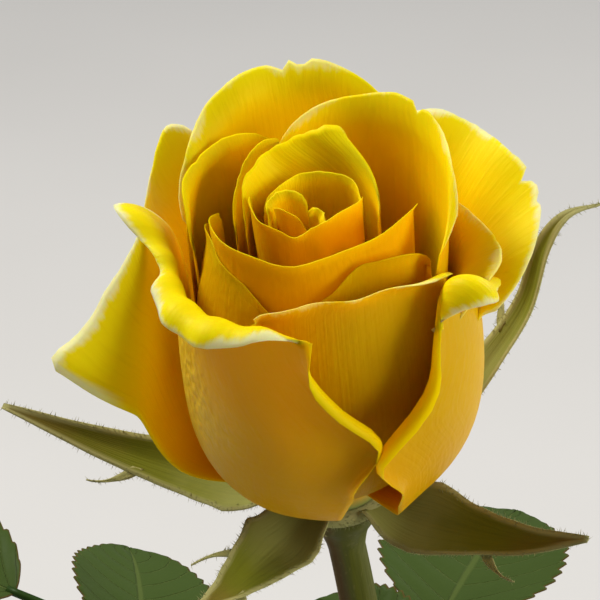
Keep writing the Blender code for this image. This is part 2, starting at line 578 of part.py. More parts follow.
def petal_point(p, u, v):
    """The place on the petal's middle surface at u from -1 to 1 across and v from 0 to 1 up."""
    move = smooth_step((v - p["shift"][0]) / (p["shift"][1] - p["shift"][0]))
    start = p["belly"][0] + (p["rim"][0] - p["belly"][0]) * move - through(p["trim"][0], v)
    end = p["belly"][1] + (p["rim"][1] - p["belly"][1]) * move + through(p["trim"][1], v)
    half = (end - start) / 2.0 * (p["foot"] + (1.0 - p["foot"]) * smooth_step(v / 0.3))
    azimuth = math.radians((start + end) / 2.0 + half * u)
    t = (u + 1.0) / 2.0
    corner = abs(u) ** p["square"]
    side = 0 if u < 0 else 1
    neck_z = through(p["height"], t) * (1.0 - p["corner"][side] * corner)
    neck_r = through(p["radius"], t)
    lean = math.radians(through(p["lean"], t))
    turn = math.radians(max(through(p["turn"], t), 1.0))
    margin = max(through(p["margin"], t) * (1.0 - 0.5 * corner), 0.4)
    root_r, root_z = p["root"]
    if v <= NECK:
        # A cubic curve: it leaves the root almost level, swells, and reaches the neck leaning.
        b = v / NECK
        reach = 0.45 * (neck_z - root_z) * (1.0 - 0.8 * max(math.sin(lean), 0.0))
        places = [(root_r, root_z), (p["swell"], root_z + 0.5),
                  (neck_r - reach * math.sin(lean), neck_z - reach * math.cos(lean)),
                  (neck_r, neck_z)]
        weights = [(1 - b) ** 3, 3 * b * (1 - b) ** 2, 3 * b * b * (1 - b), b ** 3]
        slopes = [-3 * (1 - b) ** 2, 3 * (1 - b) ** 2 - 6 * b * (1 - b),
                  6 * b * (1 - b) - 3 * b * b, 3 * b * b]
        r = sum(w * q[0] for w, q in zip(weights, places))
        z = sum(w * q[1] for w, q in zip(weights, places))
        angle = math.atan2(sum(w * q[0] for w, q in zip(slopes, places)),
                           sum(w * q[1] for w, q in zip(slopes, places)))
    else:
        # The margin rolls over as an arc.
        angle = lean + turn * (v - NECK) / (1.0 - NECK)
        bend = margin / turn
        r = neck_r + bend * (math.cos(lean) - math.cos(angle))
        z = neck_z + bend * (math.sin(angle) - math.sin(lean))
    grow = smooth_step(v / 0.5)
    edge = max((abs(u) - 0.55) / 0.45, 0.0) ** 2
    off = (p["lap"] * u + p["lift"][side] * edge) * grow
    r += off * math.cos(angle)
    z -= off * math.sin(angle)
    return Vector((r * math.cos(azimuth), r * math.sin(azimuth), z))


def make_bloom(look):
    centres = [Vector((0.0, 0.0, z)) for z, r in CORE]
    bloom = tube("bloom", centres, [r for z, r in CORE], 10, look)
    petals = new_collection("petals")
    for p in PETALS:
        across, along = p["grid"]
        rows = [[petal_point(p, 2.0 * i / across - 1.0, j / along) for i in range(across + 1)]
                for j in range(along + 1)]
        sheet("petal_" + p["name"], rows, PETAL_THICKNESS, look, petals)
    unite(bloom, petals)
    bloom.matrix_world = scaled(bloom_frame())
    return bloom


def main():
    clear_scene()
    glaze = material("stoneware_glaze", (0.55, 0.60, 0.52), 0.25, coat=0.4)
    clear = material("water", (0.92, 0.96, 0.97), 0.03, transmission=1.0)
    cane = material("stem_green", (0.16, 0.22, 0.05), 0.5)
    calyx = material("sepal_green", (0.22, 0.30, 0.10), 0.6)
    leaf = material("leaf_green", (0.03, 0.09, 0.02), 0.45)
    yellow = material("petal_yellow", (0.85, 0.60, 0.03), 0.55)
    make_vase(glaze)
    make_water(clear)
    make_stem(cane)
    make_sepals(calyx)
    for name, t, azimuth, length, rise, leaflets in LEAVES:
        make_leaf(name, t, azimuth, length, rise, leaflets, leaf)
    make_bloom(yellow)


main()
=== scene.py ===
# %% [markdown]
# # A yellow rose in a bud vase
#
# This lesson dresses a finished CAD model of one cut rose in a small stoneware vase. The CAD
# model has the right sizes and the right main shapes, but its petals are thick and plain. Here
# each of its parts gets a finer twin in the same place, with thin petals, veined leaves, hairs
# and prickles, and a finish made only of nodes.
#
# The model is loaded first. It stays as it is: it tells us where everything stands.

# %% Load the model
import math

import bpy
import numpy as np
from mathutils import Matrix, Quaternion, Vector, noise


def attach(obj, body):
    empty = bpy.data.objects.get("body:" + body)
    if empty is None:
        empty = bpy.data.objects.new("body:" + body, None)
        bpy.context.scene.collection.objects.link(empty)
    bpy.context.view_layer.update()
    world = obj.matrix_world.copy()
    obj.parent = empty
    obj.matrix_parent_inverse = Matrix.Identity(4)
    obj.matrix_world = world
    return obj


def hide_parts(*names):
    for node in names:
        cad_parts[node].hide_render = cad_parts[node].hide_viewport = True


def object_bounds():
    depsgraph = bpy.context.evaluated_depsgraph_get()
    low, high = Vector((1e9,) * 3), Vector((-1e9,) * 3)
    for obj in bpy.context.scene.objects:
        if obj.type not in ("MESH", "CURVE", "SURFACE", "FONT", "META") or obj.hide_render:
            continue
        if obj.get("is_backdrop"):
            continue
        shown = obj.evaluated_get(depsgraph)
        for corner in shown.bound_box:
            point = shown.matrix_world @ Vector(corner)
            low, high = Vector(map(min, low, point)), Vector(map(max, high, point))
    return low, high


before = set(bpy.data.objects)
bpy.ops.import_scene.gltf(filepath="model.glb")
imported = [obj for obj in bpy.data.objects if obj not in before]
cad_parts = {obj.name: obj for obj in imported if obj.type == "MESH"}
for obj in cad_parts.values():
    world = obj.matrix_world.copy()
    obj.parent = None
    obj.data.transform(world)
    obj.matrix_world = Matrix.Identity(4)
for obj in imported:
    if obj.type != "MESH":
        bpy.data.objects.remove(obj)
cad_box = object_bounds()
print("parts:", ", ".join(sorted(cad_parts)))
print("size in mm:", [round(1000 * (high - low), 1) for low, high in zip(*cad_box)])

# %% [markdown]
# # Numbers that several pieces share
#
# The plant and the vase are measured in millimetres, and a mesh is turned into metres only when
# it becomes an object. The floor and the lights are given in metres. The bloom has its own
# frame: its axis leans 10 degrees to the front and 6 degrees to the left, and its petals are
# described round that axis by a radius, an azimuth (0 is right, 90 is back, 180 is left, 270 is
# front) and a height above the root. The hip, the stem's swollen end, is a list of heights and
# radii in the same frame.

# %% Shared numbers
MM = 0.001
LEAN_FRONT = math.radians(10.0)
LEAN_LEFT = math.radians(6.0)
BLOOM_ROOT = Vector((1.0, 0.0, 298.0))
STEM_FOOT = Vector((-9.0, -7.0, 7.8))
STEM_LIP = Vector((7.0, 5.0, 190.0))
HIP = [(-13.0, 3.1), (-10.0, 3.9), (-7.5, 5.1), (-5.0, 5.7), (-2.5, 5.7), (-0.3, 5.3)]


def bloom_frame():
    """The bloom's frame: Z along its leaning axis, X kept level to the right."""
    axis = Vector((-math.sin(LEAN_LEFT), -math.sin(LEAN_FRONT), 0.0))
    axis.z = math.sqrt(1.0 - axis.length_squared)
    across = Vector((1.0, 0.0, 0.0))
    across = (across - axis * across.dot(axis)).normalized()
    axes = Matrix((across, axis.cross(across), axis)).transposed().to_4x4()
    return Matrix.Translation(BLOOM_ROOT) @ axes


BLOOM = bloom_frame()
print("the bloom's axis:", [round(x, 3) for x in BLOOM.col[2][:3]])

# %% [markdown]
# # Smooth numbers
#
# Living shapes have few straight lines, so most sizes here are given at a few places and read
# in between. `smooth_step` eases from 0 to 1. `through` draws one smooth curve through any list
# of numbers or vectors, and is the workhorse of the whole flower.

# %% Smooth numbers
def smooth_step(x):
    x = min(max(x, 0.0), 1.0)
    return x * x * (3.0 - 2.0 * x)


def through(values, t):
    """A smooth curve through values spaced evenly over t from 0 to 1."""
    last = len(values) - 1
    i = min(int(t * last), last - 1)
    f = t * last - i
    before = values[i - 1] if i > 0 else values[0] * 2.0 - values[1]
    after = values[i + 2] if i + 2 <= last else values[last] * 2.0 - values[last - 1]
    a, b = values[i], values[i + 1]
    square = before * 2.0 - a * 5.0 + b * 4.0 - after
    cube = (a - b) * 3.0 + after - before
    return a + (b - before) * (0.5 * f) + square * (0.5 * f * f) + cube * (0.5 * f * f * f)


def wander(x, y, seed):
    """A gentle random number from -1 to 1 that changes slowly with x and y."""
    return noise.noise(Vector((x, y, 17.3 * seed)))


print("halfway through 0, 4, 2:", through([0.0, 4.0, 2.0], 0.5))

# %% [markdown]
# # From points to thin bodies
#
# A petal, a sepal and a leaflet are all the same kind of thing: a curved blade a few tenths of
# a millimetre thick. Solidify would do for one, but it gives an even thickness and square
# edges. Here the two faces are made directly from a grid of middle points, so that a blade can
# thin out towards its rim, and each point keeps what a finish needs to know later: its place
# across and along the blade, how far it is from the rim, and which face it is on.
#
# Two measures come first. `unit` shortens every vector to a length of one. `rim_distance` walks
# along the rows and columns of the grid and adds up how far each point is from the rim. The
# root doesn't count as rim, because it is hidden and keeps its thickness.

# %% Distances on a grid
def unit(vectors):
    """The same directions, all one long."""
    return vectors / np.maximum(np.linalg.norm(vectors, axis=-1, keepdims=True), 1e-9)


def rim_distance(middle):
    """How far each point is from the tip or from a side edge, along the grid."""
    count_v, count_u = middle.shape[:2]
    step_v = np.linalg.norm(np.diff(middle, axis=0), axis=2)
    step_u = np.linalg.norm(np.diff(middle, axis=1), axis=2)
    from_top = np.zeros((count_v, count_u))
    from_top[:-1] = np.cumsum(step_v[::-1], axis=0)[::-1]
    from_left = np.zeros((count_v, count_u))
    from_left[:, 1:] = np.cumsum(step_u, axis=1)
    from_right = from_left[:, -1:] - from_left
    return np.minimum(from_top, np.minimum(from_left, from_right))


strip = np.array([[(x, y, 0.0) for x in (0.0, 1.0, 2.0)] for y in (0.0, 1.0)])
print("distances from the rim of a small strip:", rim_distance(strip).tolist())

# %% [markdown]
# # One blade
#
# The front and the back are the middle surface moved out by half the thickness, and a strip of
# faces joins them all the way round, so that the body is closed. The points of both sides keep
# the same place, and only `outer` tells them apart.

# %% A blade from a grid of points
RIM_SHARE = 0.35


def blade(rows, thickness, thin_over):
    """A closed thin body about a grid of middle points. Its rim is thinner than its middle.

    rows        points in mm, as rows that run across, from the root to the tip
    thickness   in mm at the middle
    thin_over   how far from the rim it begins to thin, in mm
    """
    middle = np.array([[tuple(p) for p in row] for row in rows], float)
    count_v, count_u = middle.shape[:2]
    edge = rim_distance(middle)
    firm = RIM_SHARE + (1.0 - RIM_SHARE) * np.clip(edge / thin_over, 0.0, 1.0) ** 0.5
    out = unit(np.cross(np.gradient(middle, axis=1), np.gradient(middle, axis=0)))
    shift = out * (0.5 * thickness * firm)[..., None]
    points = np.concatenate([(middle + shift).reshape(-1, 3), (middle - shift).reshape(-1, 3)])
    index = np.arange(count_v * count_u).reshape(count_v, count_u)
    behind = index + count_v * count_u
    faces = []
    for i in range(count_v - 1):
        for j in range(count_u - 1):
            a, b, c, d = index[i, j], index[i, j + 1], index[i + 1, j + 1], index[i + 1, j]
            faces.append((a, b, c, d))
            a, b, c, d = behind[i, j], behind[i + 1, j], behind[i + 1, j + 1], behind[i, j + 1]
            faces.append((a, b, c, d))
    loop = np.concatenate([index[0], index[1:, -1], index[-1, -2::-1], index[-2:0:-1, 0]])
    back = loop + count_v * count_u
    for k in range(len(loop)):
        n = (k + 1) % len(loop)
        faces.append((loop[n], loop[k], back[k], back[n]))
    away = unit(middle - middle[:, [count_u // 2]]).reshape(-1, 3)
    across = np.tile(np.linspace(0.0, 1.0, count_u), (count_v, 1))
    along = np.tile(np.linspace(0.0, 1.0, count_v)[:, None], (1, count_u))
    place = np.stack([across, along], axis=2).reshape(-1, 2)
    outer = np.repeat([1.0, 0.0], count_v * count_u)
    return {
        "points": points,
        "faces": [tuple(int(x) for x in face) for face in faces],
        "place": np.concatenate([place, place]),
        "values": {"edge_mm": np.tile(edge.reshape(-1), 2), "outer": outer,
                   "away": np.concatenate([away, away])},
    }


# %% [markdown]
# # Many bodies in one mesh
#
# All the petals of a bloom share one finish, so they go into one mesh. `piece` strings bodies
# together, moves them into place, stores the numbers of each point as named attributes that
# a shader can read, and turns millimetres into metres at the very end. `settle` then hangs the
# finished piece on the model's body and hides the CAD parts that it replaces.

# %% Pieces
def put(name, data):
    """A new object in the scene."""
    made = bpy.data.objects.new(name, data)
    bpy.context.scene.collection.objects.link(made)
    return made


def store(mesh, key, numbers):
    """Keeps a number or a direction for each point of a mesh, as a named attribute."""
    numbers = np.array(numbers, np.float32)
    vector = numbers.ndim == 2
    kept = mesh.attributes.new(key, "FLOAT_VECTOR" if vector else "FLOAT", "POINT")
    kept.data.foreach_set("vector" if vector else "value", numbers.reshape(-1))


def piece(name, bodies, look, stand=None):
    """One object from several bodies. `stand` is their frame, where it isn't the model's."""
    points = []
    faces = []
    places = []
    values = {}
    count = 0
    for body in bodies:
        points.append(body["points"])
        faces += [tuple(count + x for x in face) for face in body["faces"]]
        places.append(body["place"])
        count += len(body["points"])
        for key, numbers in body["values"].items():
            values.setdefault(key, []).append((count - len(numbers), numbers))
    turn = np.identity(3) if stand is None else np.array(stand.to_3x3())
    start = np.zeros(3) if stand is None else np.array(stand.translation)
    spots = np.concatenate(points) @ turn.T + start
    mesh = bpy.data.meshes.new(name)
    mesh.from_pydata((spots * MM).tolist(), [], faces)
    corner = np.empty(len(mesh.loops), np.int32)
    mesh.loops.foreach_get("vertex_index", corner)
    mesh.uv_layers.new(name="place")
    mesh.uv_layers["place"].data.foreach_set("uv", np.concatenate(places)[corner].reshape(-1))
    for key, lists in values.items():
        vector = lists[0][1].ndim == 2
        numbers = np.zeros((count, 3) if vector else count, np.float32)
        for first, some in lists:
            numbers[first:first + len(some)] = some @ turn.T if vector else some
        store(mesh, key, numbers)
    mesh.materials.append(look)
    mesh.shade_smooth()
    mesh.update()
    print(f"{name}: {len(bodies)} bodies, {sum(len(f) - 2 for f in faces)} triangles")
    return put(name, mesh)


def settle(made, slot, *nodes):
    """Hangs a finished piece on the model's one body and hides the CAD nodes it replaces."""
    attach(made, "root")
    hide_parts(*nodes)


# %% [markdown]
# # A short way to write nodes
#
# Every finish here is a node tree, and so is every Geometry Nodes modifier. Two small classes
# keep them readable. `Graph.node` adds any node: its settings first, then its sockets. `Wire`
# wraps an output, and its arithmetic adds Math nodes, so a mask can be written as
# `1 - age * 0.3` and still be nodes underneath. A colour is written as three numbers, and
# `feed` adds the fourth, its opacity.

# %% Graph and Wire
class Wire:
    """The output of a node, ready for arithmetic."""

    def __init__(self, graph, socket):
        self.graph = graph
        self.socket = socket

    def math(self, operation, first, second):
        return self.graph.node("ShaderNodeMath", {"operation": operation}, {0: first, 1: second})

    def other(self, name):
        """Another output of the same node."""
        return Wire(self.graph, self.socket.node.outputs[name])

    def __add__(self, other):
        return self.math("ADD", self, other)

    def __sub__(self, other):
        return self.math("SUBTRACT", self, other)

    def __rsub__(self, other):
        return self.math("SUBTRACT", other, self)

    def __mul__(self, other):
        return self.math("MULTIPLY", self, other)

    def __pow__(self, other):
        return self.math("POWER", self, other)

    __radd__ = __add__
    __rmul__ = __mul__


class Graph:
    """Adds nodes to a tree, for a finish or for a Geometry Nodes modifier."""

    def __init__(self, tree):
        self.tree = tree

    def node(self, kind, settings=None, inputs=None, output=0):
        made = self.tree.nodes.new(kind)
        for key, value in (settings or {}).items():
            if key == "stops":
                self.set_stops(made.color_ramp, value)
            else:
                setattr(made, key, value)
        for key, value in (inputs or {}).items():
            self.feed(made.inputs[key], value)
        return Wire(self, made.outputs[output])

    def feed(self, socket, value):
        if isinstance(value, Wire):
            self.tree.links.new(value.socket, socket)
        else:
            socket.default_value = (*value, 1.0) if socket.type == "RGBA" else value

    def set_stops(self, ramp, stops):
        while len(ramp.elements) < len(stops):
            ramp.elements.new(1.0)
        for element, (position, colour) in zip(ramp.elements, stops):
            element.position = position
            element.color = (*colour, 1.0)


# %% [markdown]
# # A finish, and the patterns that several finishes use
#
# Each finish starts from one Principled shader. Sizes that are the same all over the surface
# are set on its sockets. `Finish` also holds the few patterns that come back in petals, leaves
# and glaze: noise, a soft threshold, and a mix of two colours.

# %% Finish
class Finish(Graph):
    """A material with one Principled shader, and the patterns that feed it."""

    def __init__(self, name, **constants):
        self.material = bpy.data.materials.new(name)
        self.material.use_nodes = True
        super().__init__(self.material.node_tree)
        self.shader = self.tree.nodes["Principled BSDF"]
        self.drive(**constants)

    def drive(self, **values):
        """Sets or feeds sockets of the shader, named with _ where the socket has a space."""
        for key, value in values.items():
            self.feed(self.shader.inputs[key.replace("_", " ")], value)

    def attribute(self, name):
        return self.node("ShaderNodeAttribute", {"attribute_name": name}, output="Fac")

    def place(self):
        """The place on a body: across in X and along in Y, each from 0 to 1."""
        return self.parts(self.node("ShaderNodeUVMap", {"uv_map": "place"}))

    def where(self, scale=(1.0, 1.0, 1.0)):
        """The place on the object in metres, scaled for a pattern."""
        spot = self.node("ShaderNodeTexCoord", output="Object")
        return self.node("ShaderNodeMapping", None, {"Vector": spot, "Scale": scale})

    def parts(self, vector):
        return self.node("ShaderNodeSeparateXYZ", None, {0: vector})

    def join(self, x, y, z):
        return self.node("ShaderNodeCombineXYZ", None, {0: x, 1: y, 2: z})

    def noise(self, vector, scale, detail=2.0, roughness=0.5):
        sizes = {"Vector": vector, "Scale": scale, "Detail": detail, "Roughness": roughness}
        return self.node("ShaderNodeTexNoise", None, sizes)

    def between(self, value, low, high):
        """Eases from 0 at low to 1 at high. High may be the smaller one."""
        sizes = {"Value": value, "From Min": low, "From Max": high}
        return self.node("ShaderNodeMapRange", {"interpolation_type": "SMOOTHSTEP"}, sizes)

    def mix(self, first, second, share):
        """A colour between two colours."""
        sizes = {0: share, 6: first, 7: second}
        return self.node("ShaderNodeMix", {"data_type": "RGBA"}, sizes, output=2)

    def ramp(self, value, stops):
        return self.node("ShaderNodeValToRGB", {"stops": stops}, {0: value})

    def bump(self, height, depth_mm, under=None):
        """A relief: height from 0 to 1 stands for depth_mm."""
        sizes = {"Strength": 1.0, "Distance": depth_mm * MM, "Height": height}
        if under is not None:
            sizes["Normal"] = under
        return self.node("ShaderNodeBump", None, sizes)


def two_tone(name, dark, light, scale, detail=2.0, **constants):
    """The finish of a small or quiet piece: soft clouds between two colours."""
    look = Finish(name, **constants)
    look.drive(Base_Color=look.mix(dark, light, look.noise(look.where(), scale, detail)))
    return look.material


# %% [markdown]
# # The camera
#
# The rose is seen from about 30 degrees above, from far enough away that the near petals don't
# swell. Half a metre and a long lens give that. The picture is 94 mm wide at the bloom, and its
# middle lies 6 mm to the left of the bloom's root and 28 mm above it, as the camera sees them.

# %% Camera
VIEW_DOWN = math.radians(30.0)
VIEW_FROM = 500.0
PICTURE_MM = 600.0 / 6.4
MIDDLE_LEFT = 5.94
MIDDLE_UP = 28.1
SENSOR_MM = 36.0
picture_right = Vector((1.0, 0.0, 0.0))
picture_up = Vector((0.0, math.sin(VIEW_DOWN), math.cos(VIEW_DOWN)))
towards_camera = Vector((0.0, -math.cos(VIEW_DOWN), math.sin(VIEW_DOWN)))
middle = BLOOM_ROOT - picture_right * MIDDLE_LEFT + picture_up * MIDDLE_UP
camera_data = bpy.data.cameras.new("camera")
camera_data.sensor_width = SENSOR_MM
camera_data.lens = SENSOR_MM * VIEW_FROM / PICTURE_MM
camera_data.clip_start = 0.01
camera = put("camera", camera_data)
turn = Matrix((picture_right, picture_up, towards_camera)).transposed().to_4x4()
camera.matrix_world = Matrix.Translation((middle + towards_camera * VIEW_FROM) * MM) @ turn
bpy.context.scene.camera = camera
print("lens in mm:", round(camera_data.lens, 1))

# %% [markdown]
# # The floor and the lights
#
# A plain pale floor fills the picture behind the rose. The light that matters comes from high
# on the left and a little behind, through a soft panel: it rakes over the rolled rims, glows
# through the petals on that side and leaves the front of the bloom in gentle shade. A second
# panel on the right opens that shade, and a weak one behind parts the bloom from the floor.

# %% Floor and lights
floor_mesh = bpy.data.meshes.new("floor")
corners = [(-4.0, -4.0, 0.0), (4.0, -4.0, 0.0), (4.0, 4.0, 0.0), (-4.0, 4.0, 0.0)]
floor_mesh.from_pydata(corners, [], [(0, 1, 2, 3)])
floor_mesh.materials.append(two_tone("pale_floor", (0.62, 0.61, 0.59), (0.68, 0.67, 0.65), 6.0,
                                     3.0, Roughness=0.8))
put("floor", floor_mesh)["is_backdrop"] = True


def panel(name, place, aim, size, power, colour):
    """A soft square light at a place in metres, turned to its aim. Its power is in watts."""
    light = bpy.data.lights.new(name, "AREA")
    light.shape = "SQUARE"
    light.size = size
    light.energy = power
    light.color = colour
    back = Vector(place) - Vector(aim)
    turn = back.to_track_quat("Z", "Y").to_matrix().to_4x4()
    put(name, light).matrix_world = Matrix.Translation(place) @ turn


WARM = (1.0, 0.97, 0.92)
PALE = (1.0, 0.98, 0.95)
heart = (BLOOM_ROOT + Vector((-5.0, -8.0, 40.0))) * MM
panel("key", (-0.55, 0.34, 1.05), heart, 0.35, 11.5, WARM)
panel("fill", (1.02, -0.40, 0.66), heart, 0.6, 10.5, PALE)
panel("rim", (0.60, 0.75, 0.60), heart, 0.4, 2.4, PALE)
world = bpy.data.worlds.new("studio")
bpy.context.scene.world = world
world.use_nodes = True
sky = world.node_tree.nodes["Background"]
sky.inputs["Color"].default_value = (0.9, 0.93, 1.0, 1.0)
sky.inputs["Strength"].default_value = 0.22
bpy.context.scene.view_settings.view_transform = "Standard"

# %% [markdown]
# # How one petal is described
#
# A rose petal starts narrow at its root, swells into a cup, stands up to a neck and rolls over
# at its rim. A free-form sculpt could copy one petal, but twenty of them have to nest without
# touching, so each is described by the same few numbers: where its sides are, how high and how
# far out its neck is, how it leans there, and how far its margin rolls over.
#
# They are nearly all the numbers of the CAD model. What is added here is what the CAD has no
# room for: side edges that curl outwards, waves along the rim, small tears in it, and one
# petal's lower front corner.

# %% The numbers of a petal
STRAIGHT = ((0.0, 0.0), (0.0, 0.0))


def petal(name, belly, rim, height, radius, lean, turn, margin, root, swell, lap=0.0,
          lift=(0.0, 0.0), corner=(0.2, 0.2), shift=(0.3, 0.8), square=4.0, foot=0.8,
          trim=STRAIGHT, curl=STRAIGHT, grid=(9, 9), wave=(0.3, 2.5, 0.0), nicks=()):
    """One petal, described from its root to its rim.

    belly, rim     azimuths of its two side edges, at the belly and at the rim
    height, radius where the rolled margin begins, at places spaced from edge to edge
    lean           how far it leans out there, in degrees
    turn, margin   how far the margin rolls over, in degrees, and its length in mm
    root, swell    radius and height of the root, and how far the belly bulges out
    lap            lifts one side edge over the neighbour and tucks the other under
    lift           how far the side edges stand off
    corner, square how much the corners are rounded off, and how near the edges
    shift          where the side edges move from the belly's azimuths to the rim's
    foot           how narrow the petal is at its root, as a share of its belly's width
    trim           degrees by which each side edge is wider, from root to rim
    curl           how much of each side edge curls outwards, as a share of half the petal,
                   and how far in degrees; it is strongest a little below the neck
    grid           how finely it is divided: 5 steps across and 4 along for each of these
    wave           the rim's waves: how far in mm, how many, and where they begin
    nicks          tears in the rim as (place from edge to edge, depth in mm, half width)
    """
    # Azimuths are made to run upwards, and the rim's to lie in the same turn as the belly's.
    belly = (belly[0], belly[1] + 360.0 * (belly[1] < belly[0]))
    rim = (rim[0], rim[1] + 360.0 * (rim[1] < rim[0]))
    turns = round((belly[0] - rim[0]) / 360.0) * 360.0
    rim = (rim[0] + turns, rim[1] + turns)
    return dict(name=name, belly=belly, rim=rim, height=height, radius=radius, lean=lean,
                turn=turn, margin=margin, root=root, swell=swell, lap=lap, lift=lift,
                corner=corner, shift=shift, square=square, foot=foot, trim=trim, curl=curl,
                grid=grid, wave=wave, nicks=nicks)


print("a petal takes", petal.__code__.co_argcount, "numbers or lists")

# %% [markdown]
# # The profile of a petal
#
# Cut a petal from its root to its rim, and this is the line of the cut. Up to the neck it is
# one cubic curve, whose two handles give the swell of the belly and the lean at the neck. The
# upper handle's length is a share of the height, and shorter where the petal leans out. Above
# the neck the line is an arc, which rolls the margin over.

# %% The profile
NECK = 0.62
HANDLE = 0.45


def profile_point(p, t, v, corner, side):
    """Radius, height and slope of the petal's profile at t across and v along."""
    neck_z = through(p["height"], t) * (1.0 - p["corner"][side] * corner)
    neck_r = through(p["radius"], t)
    lean = math.radians(through(p["lean"], t))
    root_r, root_z = p["root"]
    if v > NECK:
        turn = math.radians(max(through(p["turn"], t), 1.0))
        margin = max(through(p["margin"], t) * (1.0 - 0.5 * corner), 0.4)
        angle = lean + turn * (v - NECK) / (1.0 - NECK)
        bend = margin / turn
        r = neck_r + bend * (math.cos(lean) - math.cos(angle))
        z = neck_z + bend * (math.sin(angle) - math.sin(lean))
        return r, z, angle
    b = v / NECK
    reach = HANDLE * (neck_z - root_z) * (1.0 - 0.8 * max(math.sin(lean), 0.0))
    places = [
        Vector((root_r, root_z)), Vector((p["swell"], root_z + 0.5)),
        Vector((neck_r - reach * math.sin(lean), neck_z - reach * math.cos(lean))),
        Vector((neck_r, neck_z)),
    ]
    weights = [(1 - b) ** 3, 3 * b * (1 - b) ** 2, 3 * b * b * (1 - b), b ** 3]
    slopes = [-3 * (1 - b) ** 2, 3 * (1 - b) ** 2 - 6 * b * (1 - b), 6 * b * (1 - b) - 3 * b * b,
              3 * b * b]
    spot = sum((q * w for q, w in zip(places, weights)), Vector((0.0, 0.0)))
    way = sum((q * w for q, w in zip(places, slopes)), Vector((0.0, 0.0)))
    return spot.x, spot.y, math.atan2(way.x, way.y)


print("the neck lies at", NECK, "of a petal's length")

# %% [markdown]
# # The surface of a petal
#
# The profile is swept round the bloom's axis from one side edge to the other. On the way the
# rim is cut back a little here and there, by tenths of a millimetre and more at its tears, the
# side edges curl outwards, one edge is lifted over the neighbour, and the whole surface wanders
# by a quarter of a millimetre, because nothing that grew is exact.

# %% The surface
CURL_FROM, CURL_TO, CURL_EASE = 0.26, 0.66, 0.14
UNREST = 0.25
CUT, CUT_COARSE, CUT_FINE = 0.18, 0.18, 0.12


def rim_cut(p, t, number):
    """How much shorter the petal is at this place of its rim, as a share of its length."""
    cut = CUT + CUT_COARSE * wander(14.0 * t, 3.0, number)
    cut += CUT_FINE * wander(40.0 * t, 9.0, number)
    for place, depth, half in p["nicks"]:
        cut += depth * max(1.0 - abs(t - place) / half, 0.0) ** 0.8
    return (1.0 - NECK) * cut / max(through(p["margin"], t), 1.5)


def petal_point(p, u, v, number):
    """The place on the petal's middle surface at u from -1 to 1 across and v from 0 to 1."""
    t = (u + 1.0) / 2.0
    v = v * (1.0 - max(rim_cut(p, t, number), 0.0))
    move = smooth_step((v - p["shift"][0]) / (p["shift"][1] - p["shift"][0]))
    start = p["belly"][0] + (p["rim"][0] - p["belly"][0]) * move - through(p["trim"][0], v)
    end = p["belly"][1] + (p["rim"][1] - p["belly"][1]) * move + through(p["trim"][1], v)
    half = (end - start) / 2.0 * (p["foot"] + (1.0 - p["foot"]) * smooth_step(v / 0.3))
    side = 0 if u < 0 else 1
    r, z, angle = profile_point(p, t, v, abs(u) ** p["square"], side)
    edge = max((abs(u) - 0.55) / 0.45, 0.0) ** 2
    off = (p["lap"] * u + p["lift"][side] * edge) * smooth_step(v / 0.5)
    share, degrees = p["curl"][side]
    bend = math.radians(degrees) * smooth_step((v - CURL_FROM) / CURL_EASE)
    bend *= smooth_step((CURL_TO - v) / CURL_EASE)
    if abs(u) > 1.0 - share and bend > 0.05:
        curled = bend * (abs(u) - 1.0 + share) / share
        off += share * math.radians(half) * r * (1.0 - math.cos(curled)) / bend
        u = math.copysign(1.0 - share + share * math.sin(curled) / bend, u)
    azimuth = math.radians((start + end) / 2.0 + half * u)
    far, count, begin = p["wave"]
    off += far * math.sin(2.0 * math.pi * (count * t + begin)) * smooth_step((v - 0.5) / 0.45)
    off += UNREST * wander(3.0 * t, 2.5 * v, number) * smooth_step(v / 0.4)
    r += off * math.cos(angle)
    z -= off * math.sin(angle)
    return Vector((r * math.cos(azimuth), r * math.sin(azimuth), z))


flat = petal("flat", (0, 90), (0, 90), (40, 40), (20, 20), (0, 0), (30, 30), (5, 5), (4, 2), 20)
print("halfway up a plain petal:", [round(x, 1) for x in petal_point(flat, 0.0, 0.5, 0)])

# %% [markdown]
# # The outermost petals
#
# A hybrid tea rose opens from the outside in. The five outermost petals lean away and roll
# their rims right over. The two in front also fold their side edges back, and the two folds
# meet low down like the lapels of a coat.

